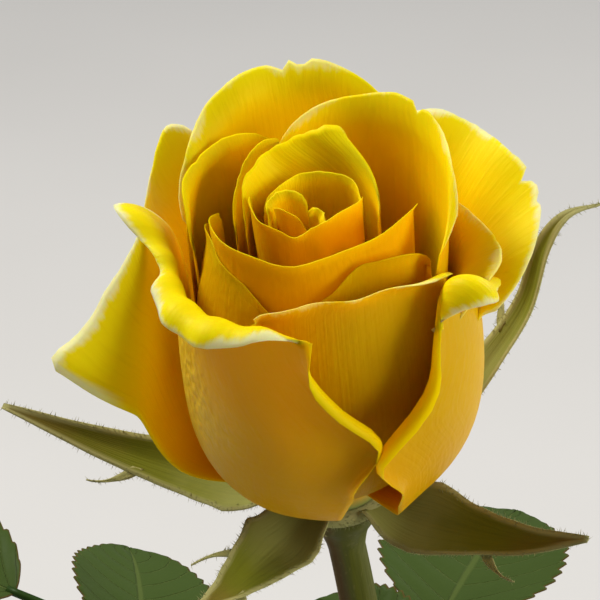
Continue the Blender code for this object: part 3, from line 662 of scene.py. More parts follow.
# %% The outer ring
OUTER_RING = [
    petal("front_left", (164, 290), (156, 269), (45.5, 47, 47, 47.5, 50),
          (22.5, 19.6, 20.4, 21, 21), lean=(15, -6, -8, -8, -6), turn=(85, 125, 160, 165, 110),
          margin=(18, 4, 8, 10, 4), root=(4.5, 3.3), swell=26, lap=0.4, lift=(0, 1.5),
          corner=(0.03, 0.04), shift=(0.25, 0.6), square=6, foot=0.7,
          trim=((0, 0), (-6, -8, -10, -12, -5, 17, 11, 4, 3, 1, 0, 0, 0)),
          curl=((0, 0), (0.14, 165)), grid=(10, 11), wave=(0.45, 6.5, 0.1)),
    petal("front_right", (291, 396), (318, 364), (45.2, 46, 43, 39, 34),
          (22.5, 23.3, 24, 24.4, 24.4), lean=(-2, -2, -2, 0, 0), turn=(130, 170, 170, 130, 80),
          margin=(8, 12, 7.5, 5, 3), root=(4.5, 2.2), swell=27, lift=(3, 0),
          corner=(0.03, 0.04), shift=(0.42, 0.62), square=8,
          trim=((-4, -6, -6, -5, -3, 8, -4, 2, -1, 0, 0, 0, 0), (0, 0)),
          curl=((0.12, 140), (0, 0)), grid=(8, 11), wave=(0.2, 2.0, 0.3)),
    petal("back_right", (344, 74), (350, 64), (35.5, 37.5, 42, 44, 46),
          (23.6, 24.6, 27.2, 28, 27.5), lean=(40, 40, 36, 30, 24), turn=(30, 25, 20, 30, 40),
          margin=(8.5, 11.5, 13.2, 13, 10.8, 9.6, 9, 8, 7), root=(4.5, 4.2), swell=22, lap=-0.6,
          corner=(0.03, 0.05), square=8, grid=(9, 8), wave=(0.35, 3.0, 0.2),
          nicks=((0.395, 2.4, 0.02), (0.31, 0.6, 0.02))),
    petal("back", (50, 136), (58, 122), (38, 42, 38), (26, 27, 22.8), lean=(8, 8, 3),
          turn=(60, 80, 20), margin=(7, 9, 3), root=(4.5, 3.2), swell=24, lap=-0.6,
          grid=(8, 8)),
    petal("left", (112, 194), (120, 187), (44.5, 44, 42, 34, 23.5), (29, 28, 26, 26, 29.5),
          lean=(42, 35, 18, 26, 44), turn=(15, 15, 15, 20, 30),
          margin=(11, 10.5, 9.5, 7.8, 6.3, 5.4, 5, 4.9, 5, 5.2, 5.5, 6.4, 7.5, 8.6, 10, 14, 25),
          root=(4.5, 1.2), swell=28.5, corner=(0.02, 0.0), square=8,
          trim=((0, 0), (0, 0, 3, 7, -2)), grid=(9, 8), wave=(0.3, 2.0, 0.6)),
]
print("outermost petals:", ", ".join(p["name"] for p in OUTER_RING))

# %% [markdown]
# # The second ring
#
# Four petals stand up behind the outermost ones and close the gaps between them, like tiles.
# The one in front is the wide plain face between the two folds.

# %% The second ring
SECOND_RING = [
    petal("back_left", (48, 176), (58, 162), (52.5, 54.5, 54.3, 52, 49.5),
          (25, 25.6, 24.2, 20.5, 18.6), lean=(8, 12, 12, 8, 2), turn=(30, 40, 40, 40, 40),
          margin=(6, 7, 7, 6, 4), root=(4, 4.4), swell=20, lap=-0.2, corner=(0.02, 0.04),
          grid=(9, 8), wave=(0.5, 3.5, 0.0), nicks=((0.30, 1.2, 0.03), (0.36, 1.6, 0.025))),
    petal("right", (322, 46), (334, 30), (39.5, 42.5, 42, 43, 44), (21.2, 22.5, 23.4, 23, 22),
          lean=(42, 45, 40, 16, 8), turn=(30, 30, 30, 30, 30), margin=(7, 7.5, 5.5, 4, 4),
          root=(4, 5.4), swell=19, lap=0.2, corner=(0.04, 0.06), square=6, grid=(8, 9),
          wave=(0.3, 3.0, 0.4)),
    petal("front", (232, 342), (243, 336), (47.5, 48.5, 48.5), (17.3, 18, 21.4), lean=(2, 2, 6),
          turn=(30, 30, 110), margin=(3, 3, 5), root=(4, 4.2), swell=22, lap=0.4,
          corner=(0.05, 0.04), grid=(8, 9), wave=(0.3, 3.0, 0.7)),
    petal("back_right_inner", (332, 112), (354, 104), (52, 53.5, 54, 54, 55.5),
          (21.4, 21.6, 22.4, 19.6, 14.4), lean=(8, 6, 8, 6, 4), turn=(30, 30, 30, 30, 20),
          margin=(5, 5, 6, 5, 4), root=(4, 6.6), swell=18.4, corner=(0.03, 0.05),
          shift=(0.5, 1.0), grid=(9, 8), wave=(0.35, 3.0, 0.3), nicks=((0.44, 1.6, 0.02),)),
]
print("second ring:", ", ".join(p["name"] for p in SECOND_RING))

# %% [markdown]
# # The third ring
#
# Five narrower petals wrap the heart. Their necks lean inwards in front and stand upright at
# the back, so that the camera looks over the near rims into the flower.

# %% The third ring
THIRD_RING = [
    petal("left_inner", (96, 190), (101, 178), (53, 53.2, 52.8, 52.4, 50),
          (20, 19.6, 19.2, 18, 16.4), lean=(2, 2, 2, 2, 0), turn=(20, 30, 40, 40, 30),
          margin=(3, 3, 3, 3, 3), root=(4, 5.8), swell=18.4, corner=(0.06, 0.06),
          grid=(7, 7), wave=(0.25, 3.0, 0.2)),
    petal("front_left_inner", (150, 284), (158, 256), (48.5, 48.5, 47.5, 46, 43.5),
          (15.4, 14.6, 14.0, 14.0, 14.2), lean=(-6, -20, -22, -18, -10), turn=(20, 20, 20),
          margin=(3, 3, 3), root=(4, 8.4), swell=20.5, corner=(0.03, 0.04), grid=(7, 7),
          wave=(0.2, 2.5, 0.0)),
    petal("front_right_inner", (250, 356), (262, 350), (45, 46.8, 50, 49.2, 46),
          (14.4, 14.2, 14.4, 17.2, 18), lean=(0, 0, 2), turn=(20, 20, 30), margin=(3, 3, 3),
          root=(4, 7.6), swell=18, corner=(0.04, 0.05), grid=(7, 7), wave=(0.15, 3.0, 0.5)),
    petal("front_inner", (150, 366), (152, 362), (49.5, 52, 51.2, 53, 53.6),
          (14.4, 13.0, 12.4, 13.4, 16), lean=(0, -4, -6, -4, 4), turn=(20, 20, 20, 20, 40),
          margin=(3, 3, 3, 3, 4), root=(4, 9.4), swell=16, corner=(0.03, 0.04), grid=(10, 7),
          wave=(0.2, 4.0, 0.1)),
    petal("back_left_inner", (84, 178), (102, 168), (56, 54.5, 52.5, 51.5, 49.5),
          (16.4, 14.6, 12.6, 11.2, 10), lean=(0, 0, 0), turn=(20, 30, 40), margin=(2, 2, 2),
          root=(3.5, 11), swell=13.5, lap=0.2, corner=(0.03, 0.05), grid=(6, 6),
          wave=(0.2, 2.0, 0.4)),
]
print("third ring:", ", ".join(p["name"] for p in THIRD_RING))

# %% [markdown]
# # The heart
#
# The heart is a tight spiral of six short petals that haven't opened. One stands behind them
# all, and the innermost is rolled like a leaf of paper. Each starts higher up the core than the
# one round it. With them the list of rings is complete, each with its age.

# %% The heart
HEART = [
    petal("heart_back", (348, 170), (58, 160), (51.5, 50.5, 49.5, 49.5, 49.5),
          (11, 11, 10.8, 9.7, 9.0), lean=(0, 4, 3, 2, 0), turn=(60, 20, 15, 15, 20),
          margin=(10, 8.5, 8, 7, 5), root=(3.5, 14), swell=11, corner=(0.0, 0.02),
          shift=(0.6, 1.0), square=12, grid=(9, 6), wave=(0.2, 4.0, 0.0)),
    petal("heart_front", (150, 372), (150, 368), (53.6, 52.8, 51.2, 53.6, 54.4),
          (8.8, 6.2, 4.6, 5.2, 8.6), lean=(0, 0, 0), turn=(20, 20, 20), margin=(2, 2, 2),
          root=(3, 18), swell=8, lap=0.2, corner=(0.01, 0.01), grid=(9, 6),
          wave=(0.2, 4.0, 0.3)),
    petal("heart_ring", (2, 160), (8, 150), (52.2, 52.4, 52.4, 52.2, 52.0),
          (8.8, 9.3, 8.7, 7.2, 6.4), lean=(0, 0, 0), turn=(20, 20, 20), margin=(2, 2, 2),
          root=(3, 22), swell=7.5, lap=0.2, corner=(0.01, 0.02), grid=(7, 6),
          wave=(0.2, 3.0, 0.5)),
    petal("heart_left", (60, 196), (70, 186), (52.6, 53, 53, 52.6, 52),
          (2.0, 3.2, 4.5, 4.9, 4.6), lean=(0, 0, 0), turn=(30, 50, 30), margin=(2, 2, 2),
          root=(2, 26), swell=5, lap=0.2, corner=(0.01, 0.02), grid=(6, 5),
          wave=(0.2, 3.0, 0.1)),
    petal("heart_right", (300, 100), (308, 84), (50, 50.6, 51, 51, 50.6),
          (3.2, 2.8, 2.4, 2.4, 2.8), lean=(0, 0, 0), turn=(30, 50, 30), margin=(2, 2, 2),
          root=(1.5, 28), swell=4, lap=0.2, corner=(0.01, 0.01), grid=(6, 5),
          wave=(0.2, 3.0, 0.6)),
    petal("heart_core", (150, 300), (160, 290), (53.4, 53.8, 53.8, 53, 51.8),
          (4.4, 3.3, 2.2, 2.0, 2.4), lean=(0, 0, 0), turn=(30, 30, 30), margin=(1.5, 2, 1.5),
          root=(1.0, 30), swell=3, lap=0.2, corner=(0.01, 0.03), grid=(5, 5),
          wave=(0.1, 2.0, 0.2)),
]
RINGS = [(1.0, OUTER_RING), (0.7, SECOND_RING), (0.4, THIRD_RING), (0.0, HEART)]
print("petals:", sum(len(ring) for age, ring in RINGS))

# %% [markdown]
# # The petals' finish
#
# A yellow rose is not one yellow. Each petal is orange where it grows from the root, clean
# yellow over most of its length and almost cream along an old, rolled rim, where the cream also
# serves as a painted highlight. Fine veins fan out from the root. The outside of a petal is
# duller and firmer than the silky inside, and its darker amber there is partly painted shade. On
# the oldest petal, the front one, it has crinkled under its left rim, where the strip is painted
# lighter as painted light and its creases darker as painted shade. Petals are also thin enough
# for light to pass, which is what makes a rose glow: part of the shader is therefore
# Subsurface, with a radius of about two millimetres.

# %% Petal finish
def petal_look():
    look = Finish("petal_lemon", Subsurface_Weight=0.6, Subsurface_Scale=0.0020,
                  Subsurface_Radius=(1.0, 0.55, 0.02), Specular_IOR_Level=0.18,
                  Specular_Tint=(1.0, 0.72, 0.10))
    across = look.place()
    along = across.other("Y")
    number = look.attribute("petal_no")
    age = look.attribute("age")
    outer = look.attribute("outer")
    edge = look.attribute("edge_mm")
    veins = look.noise(look.join(across * 60.0 + number * 9.0, along * 3.0, number), 1.0, 3.0)
    patches = look.noise(look.join(across * 4.0, along * 4.0, number * 3.0), 1.0, 3.0)
    colour = look.ramp(along + (patches - 0.5) * 0.25, [
        (0.0, (0.74, 0.23, 0.0)), (0.30, (0.87, 0.41, 0.0)),
        (0.55, (0.92, 0.54, 0.0)), (0.92, (0.94, 0.66, 0.001)),
    ])
    young = (1.0 - age) * 0.35
    colour = look.mix(colour, (0.92, 0.50, 0.001), young * (1.0 - along * 0.6))
    # The outer faces turn a darker amber: partly the duller outside of a petal, partly painted
    # shade.
    colour = look.mix(colour, (0.58, 0.27, 0.0), outer * 0.7)
    colour = look.mix(colour, (0.66, 0.38, 0.002), look.between(veins, 0.55, 0.75) * 0.2)
    # Old rims fade to cream in places, not evenly, and hardly at all below the neck. On the rolled
    # rims this cream also serves as a painted highlight.
    blotch = look.noise(look.join(across * 5.0, number * 2.3, 0.0), 1.0)
    ragged = edge + (veins - 0.5) * 2.0 + (blotch - 0.5) * 7.0
    cream = look.between(ragged, 1.2, -0.2) * look.between(age, 0.5, 0.9)
    cream = cream * look.between(along, 0.66, 0.84)
    colour = look.mix(colour, (0.93, 0.83, 0.44), cream * 0.85)
    # The front petal is number 1, and only its left part crinkles, above its root. The crinkled
    # strip is painted lighter as painted light, and its creases darker as painted shade.
    crinkle = look.noise(look.where((1.0, 1.0, 0.75)), 800.0, 1.0)
    firm = outer * look.between(number, 1.8, 1.2) * look.between(along, 0.25, 0.45)
    firm = firm * look.between(across + (patches - 0.5) * 0.4, 0.62, 0.42)
    colour = look.mix(colour, (0.88, 0.58, 0.07), firm * 0.4)
    valley = look.between(crinkle, 0.62, 0.38)
    colour = look.mix(colour, (0.60, 0.31, 0.0), firm * valley * 0.5)
    relief = look.bump(crinkle * (firm * 0.8 + outer * 0.2), 0.6)
    relief = look.bump(veins, 0.12, relief)
    look.drive(Base_Color=colour, Roughness=0.42 + veins * 0.16, Normal=relief)
    return look.material


PETAL_LOOK = petal_look()
print("petal finish:", len(PETAL_LOOK.node_tree.nodes), "nodes")

# %% [markdown]
# # Making the bloom
#
# Each petal becomes a blade of its own. It knows its number, so that no two have the same
# veins, and its age: 1 for the outermost ring, 0 in the heart. All of them go into one mesh
# that stands for the CAD bloom.

# %% The bloom
PETAL_THICKNESS = 0.28
PETAL_THINS_OVER = 2.0


def petal_body(p, number, age):
    across = 5 * p["grid"][0]
    along = 4 * p["grid"][1]
    rows = [[petal_point(p, 2.0 * i / across - 1.0, j / along, number)
             for i in range(across + 1)] for j in range(along + 1)]
    body = blade(rows, PETAL_THICKNESS, PETAL_THINS_OVER)
    count = len(body["points"])
    body["values"]["petal_no"] = np.full(count, float(number))
    body["values"]["age"] = np.full(count, age)
    return body


petals = []
for age, ring in RINGS:
    for p in ring:
        petals.append(petal_body(p, len(petals) + 1, age))
settle(piece("bloom_petals", petals, PETAL_LOOK, BLOOM), "petals", "bloom")

# %% [markdown]
# # Turned and drawn-out bodies
#
# Two more kinds of body are needed. A vase and the collar of the sepals are turned: a profile
# swept round an axis, as clay on a wheel. A stem and a leaf stalk are drawn out: rings of
# points along a path, each ring square to it. Blender's Screw and Curve would make both, but
# with our own grid the ends close neatly and every point keeps its place for the finish.

# %% Turned and drawn-out bodies
def body_of(points, faces, place):
    """A body from loose lists, with no numbers of its own yet."""
    points = np.array([tuple(p) for p in points])
    return {"points": points, "faces": faces, "place": np.array(place), "values": {}}


def turned(profile, sides, closed=False):
    """A body turned round Z from (radius, height) points. It runs up its outer side."""
    count = len(profile)
    points = []
    place = []
    for k in range(sides):
        angle = 2.0 * math.pi * k / sides
        for i, (r, z) in enumerate(profile):
            points.append((r * math.cos(angle), r * math.sin(angle), z))
            place.append((k / sides, i / (count - 1)))
    faces = []
    for k in range(sides):
        a = k * count
        b = (k + 1) % sides * count
        for i in range(count if closed else count - 1):
            n = (i + 1) % count
            faces.append((a + i, b + i, b + n, a + n))
    return body_of(points, faces, place)


def drawn(centres, radii, sides, ring_shape=None):
    """A bar along its centres, closed by a point at each end."""
    points = []
    place = []
    side = None
    last = len(centres) - 1
    for i, centre in enumerate(centres):
        ahead = (centres[min(i + 1, last)] - centres[max(i - 1, 0)]).normalized()
        side = ahead.orthogonal() if side is None else side
        side = (side - ahead * side.dot(ahead)).normalized()
        other = ahead.cross(side)
        for k in range(sides):
            angle = 2.0 * math.pi * k / sides
            r = radii[i] * (1.0 if ring_shape is None else ring_shape(angle, i / last))
            points.append(centre + (side * math.cos(angle) + other * math.sin(angle)) * r)
            place.append((k / sides, i / last))
    points += [centres[0], centres[-1]]
    place += [(0.0, 0.0), (0.0, 1.0)]
    faces = []
    for i in range(last):
        for k in range(sides):
            n = (k + 1) % sides
            a, b = i * sides, (i + 1) * sides
            faces.append((a + k, a + n, b + n, b + k))
    foot, tip = len(points) - 2, len(points) - 1
    for k in range(sides):
        n = (k + 1) % sides
        faces.append((foot, n, k))
        faces.append((tip, last * sides + k, last * sides + n))
    return body_of(points, faces, place)


print("a turned cup has", len(turned([(0, 0), (10, 0), (12, 9), (0, 9)], 24)["faces"]), "faces")

# %% [markdown]
# # The seat of the bloom
#
# The petals don't grow from one another but from a short cone on the stem's swollen end. It is
# pale green below and yellow inside the flower. It shows only from low down, between the sepals
# and the lowest petals, yet without it the bloom would float. It is a round bar that narrows
# upwards, the same as the core of the CAD bloom.

# %% The seat of the bloom
SEAT = [(-0.6, 6.3), (0.2, 7.3), (1.6, 7.1), (3.0, 6.8), (9.0, 6.4), (14.0, 5.6), (20.0, 4.9),
        (27.0, 3.9), (33.0, 2.6)]
SEAT_STEPS = 32
SEAT_SIDES = 32


def along_axis(table, t):
    """The centre and the radius at t, read from a table of (height, radius)."""
    return Vector((0.0, 0.0, through([z for z, r in table], t))), through([r for z, r in table], t)


def seat_look():
    look = Finish("seat_green", Roughness=0.55)
    up = look.place().other("Y")
    ribs = look.noise(look.where((1.0, 1.0, 0.15)), 500.0)
    colour = look.mix((0.15, 0.19, 0.035), (0.26, 0.29, 0.060), ribs)
    colour = look.mix(colour, (0.80, 0.45, 0.010), look.between(up + ribs * 0.06, 0.16, 0.34))
    look.drive(Base_Color=colour, Normal=look.bump(ribs, 0.2))
    return look.material


seat_centres, seat_radii = zip(*[along_axis(SEAT, i / SEAT_STEPS) for i in range(SEAT_STEPS + 1)])
seat_body = drawn(seat_centres, seat_radii, SEAT_SIDES)
settle(piece("bloom_seat", [seat_body], seat_look(), BLOOM), "petals")

# %% [markdown]
# # The sepals
#
# Five sepals once wrapped the bud. Now they lie back under the bloom: two wide ones in front,
# one to the left, one that climbs behind on the right with its tip bent over, and one that
# hangs at the back. A rose's sepals are famous for not matching: some carry one little side
# lobe and some carry two. Each is a shallow trough whose path is read through a few given
# points. An entry gives the azimuth, half the width in mm, the roll to one side in degrees,
# the lobes as (share of the length, side), and the path as (distance out, height).

# %% The sepals' numbers
ROOT = (6.6, -1.8)
SEPALS = [
    (164, 6.2, -28, [(0.62, 1)], [ROOT, (15, -2.4), (26, -1.6), (40, 2), (55, 7.5)]),
    (230, 6.6, -12, [(0.5, -1), (0.72, 1)], [ROOT, (13, -2.8), (20, -2.6), (27, -2.2), (34, 0.0)]),
    (327, 6.4, 22, [(0.6, -1)], [ROOT, (14, -2.4), (24, -1.2), (34, 1.5), (45, 7)]),
    (33, 3.3, 0, [(0.42, 1)],
     [ROOT, (18.5, -1.2), (29.6, 7.4), (37.4, 15), (41.5, 24.5), (46, 28.8), (53, 27.6)]),
    (98, 5.6, 8, [(0.5, 1), (0.66, -1)], [ROOT, (15, -2.6), (25, -4), (35, -9), (42, -17)]),
]
print("the sepals reach out, in mm:", [sepal[4][-1][0] for sepal in SEPALS])

# %% [markdown]
# # The surface of a sepal
#
# Two lines steer a sepal: its path, and the way to its side, which starts level and rolls. From
# them come its width, which narrows to a long tip, its hollow, a fold along the middle and a
# little unrest along the edges. A side lobe starts in the outer half of the blade, leaves the
# edge and bends towards the tip. A small turned collar holds all five roots together.

# %% The surface of a sepal
SEPAL_STEPS = 48
SEPAL_ACROSS = 10
LOBE_STEPS = 14
LOBE_LENGTH = 8.0
LOBE_FROM = 0.6
HOLLOW = 0.32
SEPAL_WAVE, SEPAL_FOLD, FOLD_WIDTH, SEPAL_UNREST = 0.35, 0.35, 0.16, 0.07


def sepal_half_width(t, half):
    """It widens over the first third of the length, then narrows to a long tip."""
    if t < 0.32:
        return half * (0.62 + 1.2 * t)
    return half * max(1.004 - 0.92 * ((t - 0.32) / 0.68) ** 0.85, 0.03)


def sepal_frame(azimuth, roll, path, t):
    """The sepal's centre at t, the way ahead, and the way to its side."""
    angle = math.radians(azimuth)
    out = Vector((math.cos(angle), math.sin(angle), 0.0))
    level = Vector((-math.sin(angle), math.cos(angle), 0.0))
    places = [out * r + Vector((0.0, 0.0, z)) for r, z in path]
    ahead = through(places, min(t + 0.02, 1.0)) - through(places, max(t - 0.02, 0.0))
    ahead.normalize()
    side = Quaternion(ahead, math.radians(roll * smooth_step(4.0 * t))) @ level
    return through(places, t), ahead, side


def sepal_rows(azimuth, half, roll, path, number):
    rows = []
    for i in range(SEPAL_STEPS + 1):
        t = i / SEPAL_STEPS
        centre, ahead, side = sepal_frame(azimuth, roll, path, t)
        over = side.cross(ahead)
        row = []
        for j in range(SEPAL_ACROSS + 1):
            k = 2.0 * j / SEPAL_ACROSS - 1.0
            uneven = 1.0 + SEPAL_UNREST * abs(k) * wander(9.0 * t, k, number)
            width = sepal_half_width(t, half) * uneven
            wave = SEPAL_WAVE * k ** 2 * math.sin(9.0 * t + 2.0 * k + number)
            fold = SEPAL_FOLD * math.exp(-(k / FOLD_WIDTH) ** 2) * (1.0 - t)
            row.append(centre + side * width * k + over * (wave + fold - width * HOLLOW * k * k))
        rows.append(row)
    return rows


def lobe_rows(azimuth, half, roll, path, share, way):
    """A narrow side lobe that leaves the sepal's edge and bends towards its tip."""
    centre, ahead, side = sepal_frame(azimuth, roll, path, share)
    width = sepal_half_width(share, half)
    over = side.cross(ahead)
    root = centre + side * way * width * LOBE_FROM - over * width * HOLLOW * LOBE_FROM ** 2
    rows = []
    for i in range(LOBE_STEPS + 1):
        s = i / LOBE_STEPS
        bend = ahead * (0.55 + 0.35 * s) + side * way * (0.95 - 0.4 * s)
        spot = root + bend * LOBE_LENGTH * s
        thin = 1.15 * (1.03 - s) * (0.75 + 0.5 * math.sin(math.pi * min(s * 1.4, 1.0)))
        rows.append([spot + ahead * thin * k - over * 0.25 * k * k for k in (-1.0, -0.4, 0.4, 1.0)])
    return rows


SEPAL_THICKNESS, SEPAL_THINS_OVER = 0.55, 0.8
LOBE_THICKNESS, LOBE_THINS_OVER = 0.45, 0.6
COLLAR = [(5.95, -0.6), (5.95, -3.3), (6.9, -3.5), (7.6, -3.1), (8.0, -2.2), (7.8, -1.3),
          (7.1, -0.7)]
COLLAR_SIDES = 48
sepal_bodies = []
for number, (azimuth, half, roll, lobes, path) in enumerate(SEPALS):
    rows = sepal_rows(azimuth, half, roll, path, number)
    sepal_bodies.append(blade(rows, SEPAL_THICKNESS, SEPAL_THINS_OVER))
    for share, way in lobes:
        rows = lobe_rows(azimuth, half, roll, path, share, way)
        sepal_bodies.append(blade(rows, LOBE_THICKNESS, LOBE_THINS_OVER))
sepal_bodies.append(turned(COLLAR, COLLAR_SIDES, closed=True))
print("sepals and lobes:", len(sepal_bodies) - 1)

# %% [markdown]
# # The green of the sepals
#
# A sepal is olive green outside and covered in a fine grey felt, which is thickest along its
# edges and makes them look almost cream. The felt is drawn twice: as colour here, and as real
# short hairs in the next step.

# %% Sepal finish
def sepal_look():
    look = Finish("sepal_green", Sheen_Weight=0.04, Sheen_Roughness=0.5,
                  Sheen_Tint=(0.8, 0.8, 0.35), Specular_IOR_Level=0.12,
                  Specular_Tint=(0.9, 0.9, 0.3))
    across = look.place()
    along = across.other("Y")
    lines = look.noise(look.join(across * 26.0, along * 3.0, 0.0), 1.0, 3.0)
    blotches = look.noise(look.where(), 160.0, 3.0)
    outer = look.attribute("outer")
    colour = look.mix((0.078, 0.090, 0.004), (0.175, 0.188, 0.011), lines)
    colour = look.mix(colour, (0.23, 0.24, 0.025), blotches * 0.4)
    colour = look.mix(colour, (0.14, 0.15, 0.03), outer * 0.4)
    foot = look.between(along + (blotches - 0.5) * 0.3, 0.60, 0.25)
    colour = look.mix(colour, (0.30, 0.30, 0.085), foot * 0.7)
    tip = look.between(along + (blotches - 0.5) * 0.3, 0.60, 1.0)
    colour = look.mix(colour, (0.15, 0.070, 0.022), tip * 0.65)
    felt = look.between(look.attribute("edge_mm") + (lines - 0.5) * 0.8, 1.25, 0.30)
    colour = look.mix(colour, (0.40, 0.38, 0.15), felt * 0.8)
    look.drive(Base_Color=colour, Roughness=0.58 + lines * 0.15, Normal=look.bump(lines, 0.12))
    return look.material


sepals = piece("sepal_blades", sepal_bodies, sepal_look(), BLOOM)

# %% [markdown]
# # Hairs, with Geometry Nodes
#
# Thousands of hairs are no work for a list of numbers. A Geometry Nodes tree can scatter points
# over a piece, keep those near its edge, and stand a small cone on each. Three trees are made
# here, for hairs, prickles and veins, and these helpers begin and end each of them. A tree has
# named inputs for its sizes. It ends in Realize Instances, because the exported model can't
# hold instances, and Set Material.
#
# `grown` runs a tree on a piece and keeps what it makes as a plain mesh. A modifier's inputs are
# known by their identifiers, so the names are looked up first.

# %% Running a tree
def new_tree(name, sizes):
    """A tree with a Geometry input, one number or material input for each name, and an output."""
    tree = bpy.data.node_groups.new(name, "GeometryNodeTree")
    sockets = tree.interface
    sockets.new_socket("Geometry", in_out="INPUT", socket_type="NodeSocketGeometry")
    sockets.new_socket("Geometry", in_out="OUTPUT", socket_type="NodeSocketGeometry")
    for key, value in sizes.items():
        kind = "NodeSocketFloat" if isinstance(value, float) else "NodeSocketInt"
        socket = sockets.new_socket(key, in_out="INPUT", socket_type=kind)
        socket.default_value = value
    sockets.new_socket("Material", in_out="INPUT", socket_type="NodeSocketMaterial")
    graph = Graph(tree)
    graph.entry = graph.node("NodeGroupInput")
    return graph


def stored(graph, name, kind="FLOAT"):
    """A named attribute of the points that a tree is given."""
    return graph.node("GeometryNodeInputNamedAttribute", {"data_type": kind}, {"Name": name})


def end_tree(graph, shape):
    """Makes the instances real, gives them their finish, and closes the tree."""
    smooth = graph.node("GeometryNodeSetShadeSmooth", None, {0: shape})
    real = graph.node("GeometryNodeRealizeInstances", None, {0: smooth})
    look = {0: real, "Material": graph.entry.other("Material")}
    done = graph.node("GeometryNodeSetMaterial", None, look)
    out = graph.tree.nodes.new("NodeGroupOutput")
    graph.tree.links.new(done.socket, out.inputs[0])
    return graph.tree


def grown(name, seat, tree, look, **sizes):
    """What a tree makes from the seat's mesh, as a new plain piece."""
    made = put(name, seat.data.copy())
    grow = made.modifiers.new("grow", "NODES")
    grow.node_group = tree
    sizes["Material"] = look
    for item in tree.interface.items_tree:
        key = item.name.replace(" ", "_")
        if item.in_out == "INPUT" and key in sizes:
            grow[item.identifier] = sizes[key]
    bpy.context.view_layer.update()
    result = made.evaluated_get(bpy.context.evaluated_depsgraph_get())
    mesh = bpy.data.meshes.new_from_object(result)
    made.modifiers.clear()
    made.data = mesh
    print(f"{name}: {len(mesh.polygons)} faces")
    return made


print("node trees before the first one of ours:", len(bpy.data.node_groups))

# %% [markdown]
# # The hair tree
#
# A hair stands out from the edge, is lifted a little by the surface it grows on, and strays by
# a random amount, whose seed is fixed. It is a cone of four sides, because nobody can count the
# sides of a hair.

# %% The hair tree
STRAY = 0.45
LIFT = 0.7


def hair_tree():
    graph = new_tree("hairs", {"Per Square Metre": 1.0, "Length": 0.0007, "Thickness": 0.00005,
                               "Only Within": 0.5, "Seed": 4})
    entry = graph.entry
    near = graph.node("FunctionNodeCompare", {"data_type": "FLOAT", "operation": "LESS_THAN"},
                      {"A": stored(graph, "edge_mm"), "B": entry.other("Only Within")})
    scatter = graph.node("GeometryNodeDistributePointsOnFaces", {"distribute_method": "RANDOM"}, {
        "Mesh": entry.other("Geometry"), "Selection": near,
        "Density": entry.other("Per Square Metre"), "Seed": entry.other("Seed")})
    stray = graph.node("FunctionNodeRandomValue", {"data_type": "FLOAT_VECTOR"}, {
        "Min": (-STRAY, -STRAY, -STRAY), "Max": (STRAY, STRAY, STRAY), "Seed": 2})
    lean = graph.node("ShaderNodeVectorMath", {"operation": "ADD"}, {
        0: stored(graph, "away", "FLOAT_VECTOR"), 1: stray})
    lean = graph.node("ShaderNodeVectorMath", {"operation": "MULTIPLY_ADD"}, {
        0: scatter.other("Normal"), 1: (LIFT, LIFT, LIFT), 2: lean})
    stand = graph.node("FunctionNodeAlignRotationToVector", {"axis": "Z"}, {"Vector": lean})
    cone = graph.node("GeometryNodeMeshCone", {"fill_type": "NGON"}, {
        "Vertices": 4, "Radius Top": 0.0, "Radius Bottom": entry.other("Thickness"),
        "Depth": entry.other("Length")})
    grow = graph.node("FunctionNodeRandomValue", {"data_type": "FLOAT"}, {
        2: 0.4, 3: 1.2, "Seed": 3}, output=1)
    hairs = graph.node("GeometryNodeInstanceOnPoints", None, {
        "Points": scatter, "Instance": cone, "Rotation": stand, "Scale": grow})
    return end_tree(graph, hairs)


HAIR_TREE = hair_tree()
print("hair tree:", len(HAIR_TREE.nodes), "nodes")

# %% [markdown]
# # The felt on the sepals
#
# The hairs stand along the last quarter of a millimetre of each sepal's edge, and are pale
# enough to catch the light. They are a piece of their own, next to the blades.

# %% Sepal hairs
felt = two_tone("pale_felt", (0.18, 0.18, 0.05), (0.36, 0.34, 0.13), 300.0, Roughness=0.7)
sepal_hairs = grown("sepal_hairs", sepals, HAIR_TREE, felt, Per_Square_Metre=5.0e6,
                    Length=0.0008, Thickness=0.00005, Only_Within=0.25, Seed=4)
settle(sepals, "sepals", "sepals")
settle(sepal_hairs, "sepals")

# %% [markdown]
# # The stem
#
# The stem stands straight in the neck of the vase and then curves gently to meet the bloom's
# leaning axis, where it swells into the hip. One side of it is flushed red, as stems are where
# the sun reached them. How sunny each point is gets worked out from the mesh itself and stored.

# %% Stem shape
AT_LIP = 0.6
STEM_STEPS = 90
HIP_STEPS = 30
STEM_SIDES = 24
STEM_HANDLE = 0.36
INTO_HIP = (-0.07, 0.02, 1.0)
SUN = (-0.95, -0.2, 0.1)


def stem_point(t):
    """The stem's centre: straight from its foot to the vase's lip, then curved to the hip.

    It ends a millimetre under the hip's lowest ring, nearly on the bloom's own axis.
    """
    if t < AT_LIP:
        return STEM_FOOT.lerp(STEM_LIP, t / AT_LIP)
    end = BLOOM @ Vector((0.0, 0.0, HIP[0][0] - 1.0))
    reach = STEM_HANDLE * (end - STEM_LIP).length
    first = STEM_LIP + (STEM_LIP - STEM_FOOT).normalized() * reach
    second = end - (BLOOM.to_3x3() @ Vector(INTO_HIP)).normalized() * reach
    s = (t - AT_LIP) / (1.0 - AT_LIP)
    low = STEM_LIP * (1 - s) ** 3 + first * 3 * s * (1 - s) ** 2
    return low + second * 3 * s * s * (1 - s) + end * s ** 3


def stem_radius(t):
    """The cane tapers from 3.3 mm to 3 mm."""
    return 3.3 - 0.3 * t


def stem_ahead(t):
    """The way up the stem."""
    return (stem_point(min(t + 0.01, 1.0)) - stem_point(t - 0.01)).normalized()


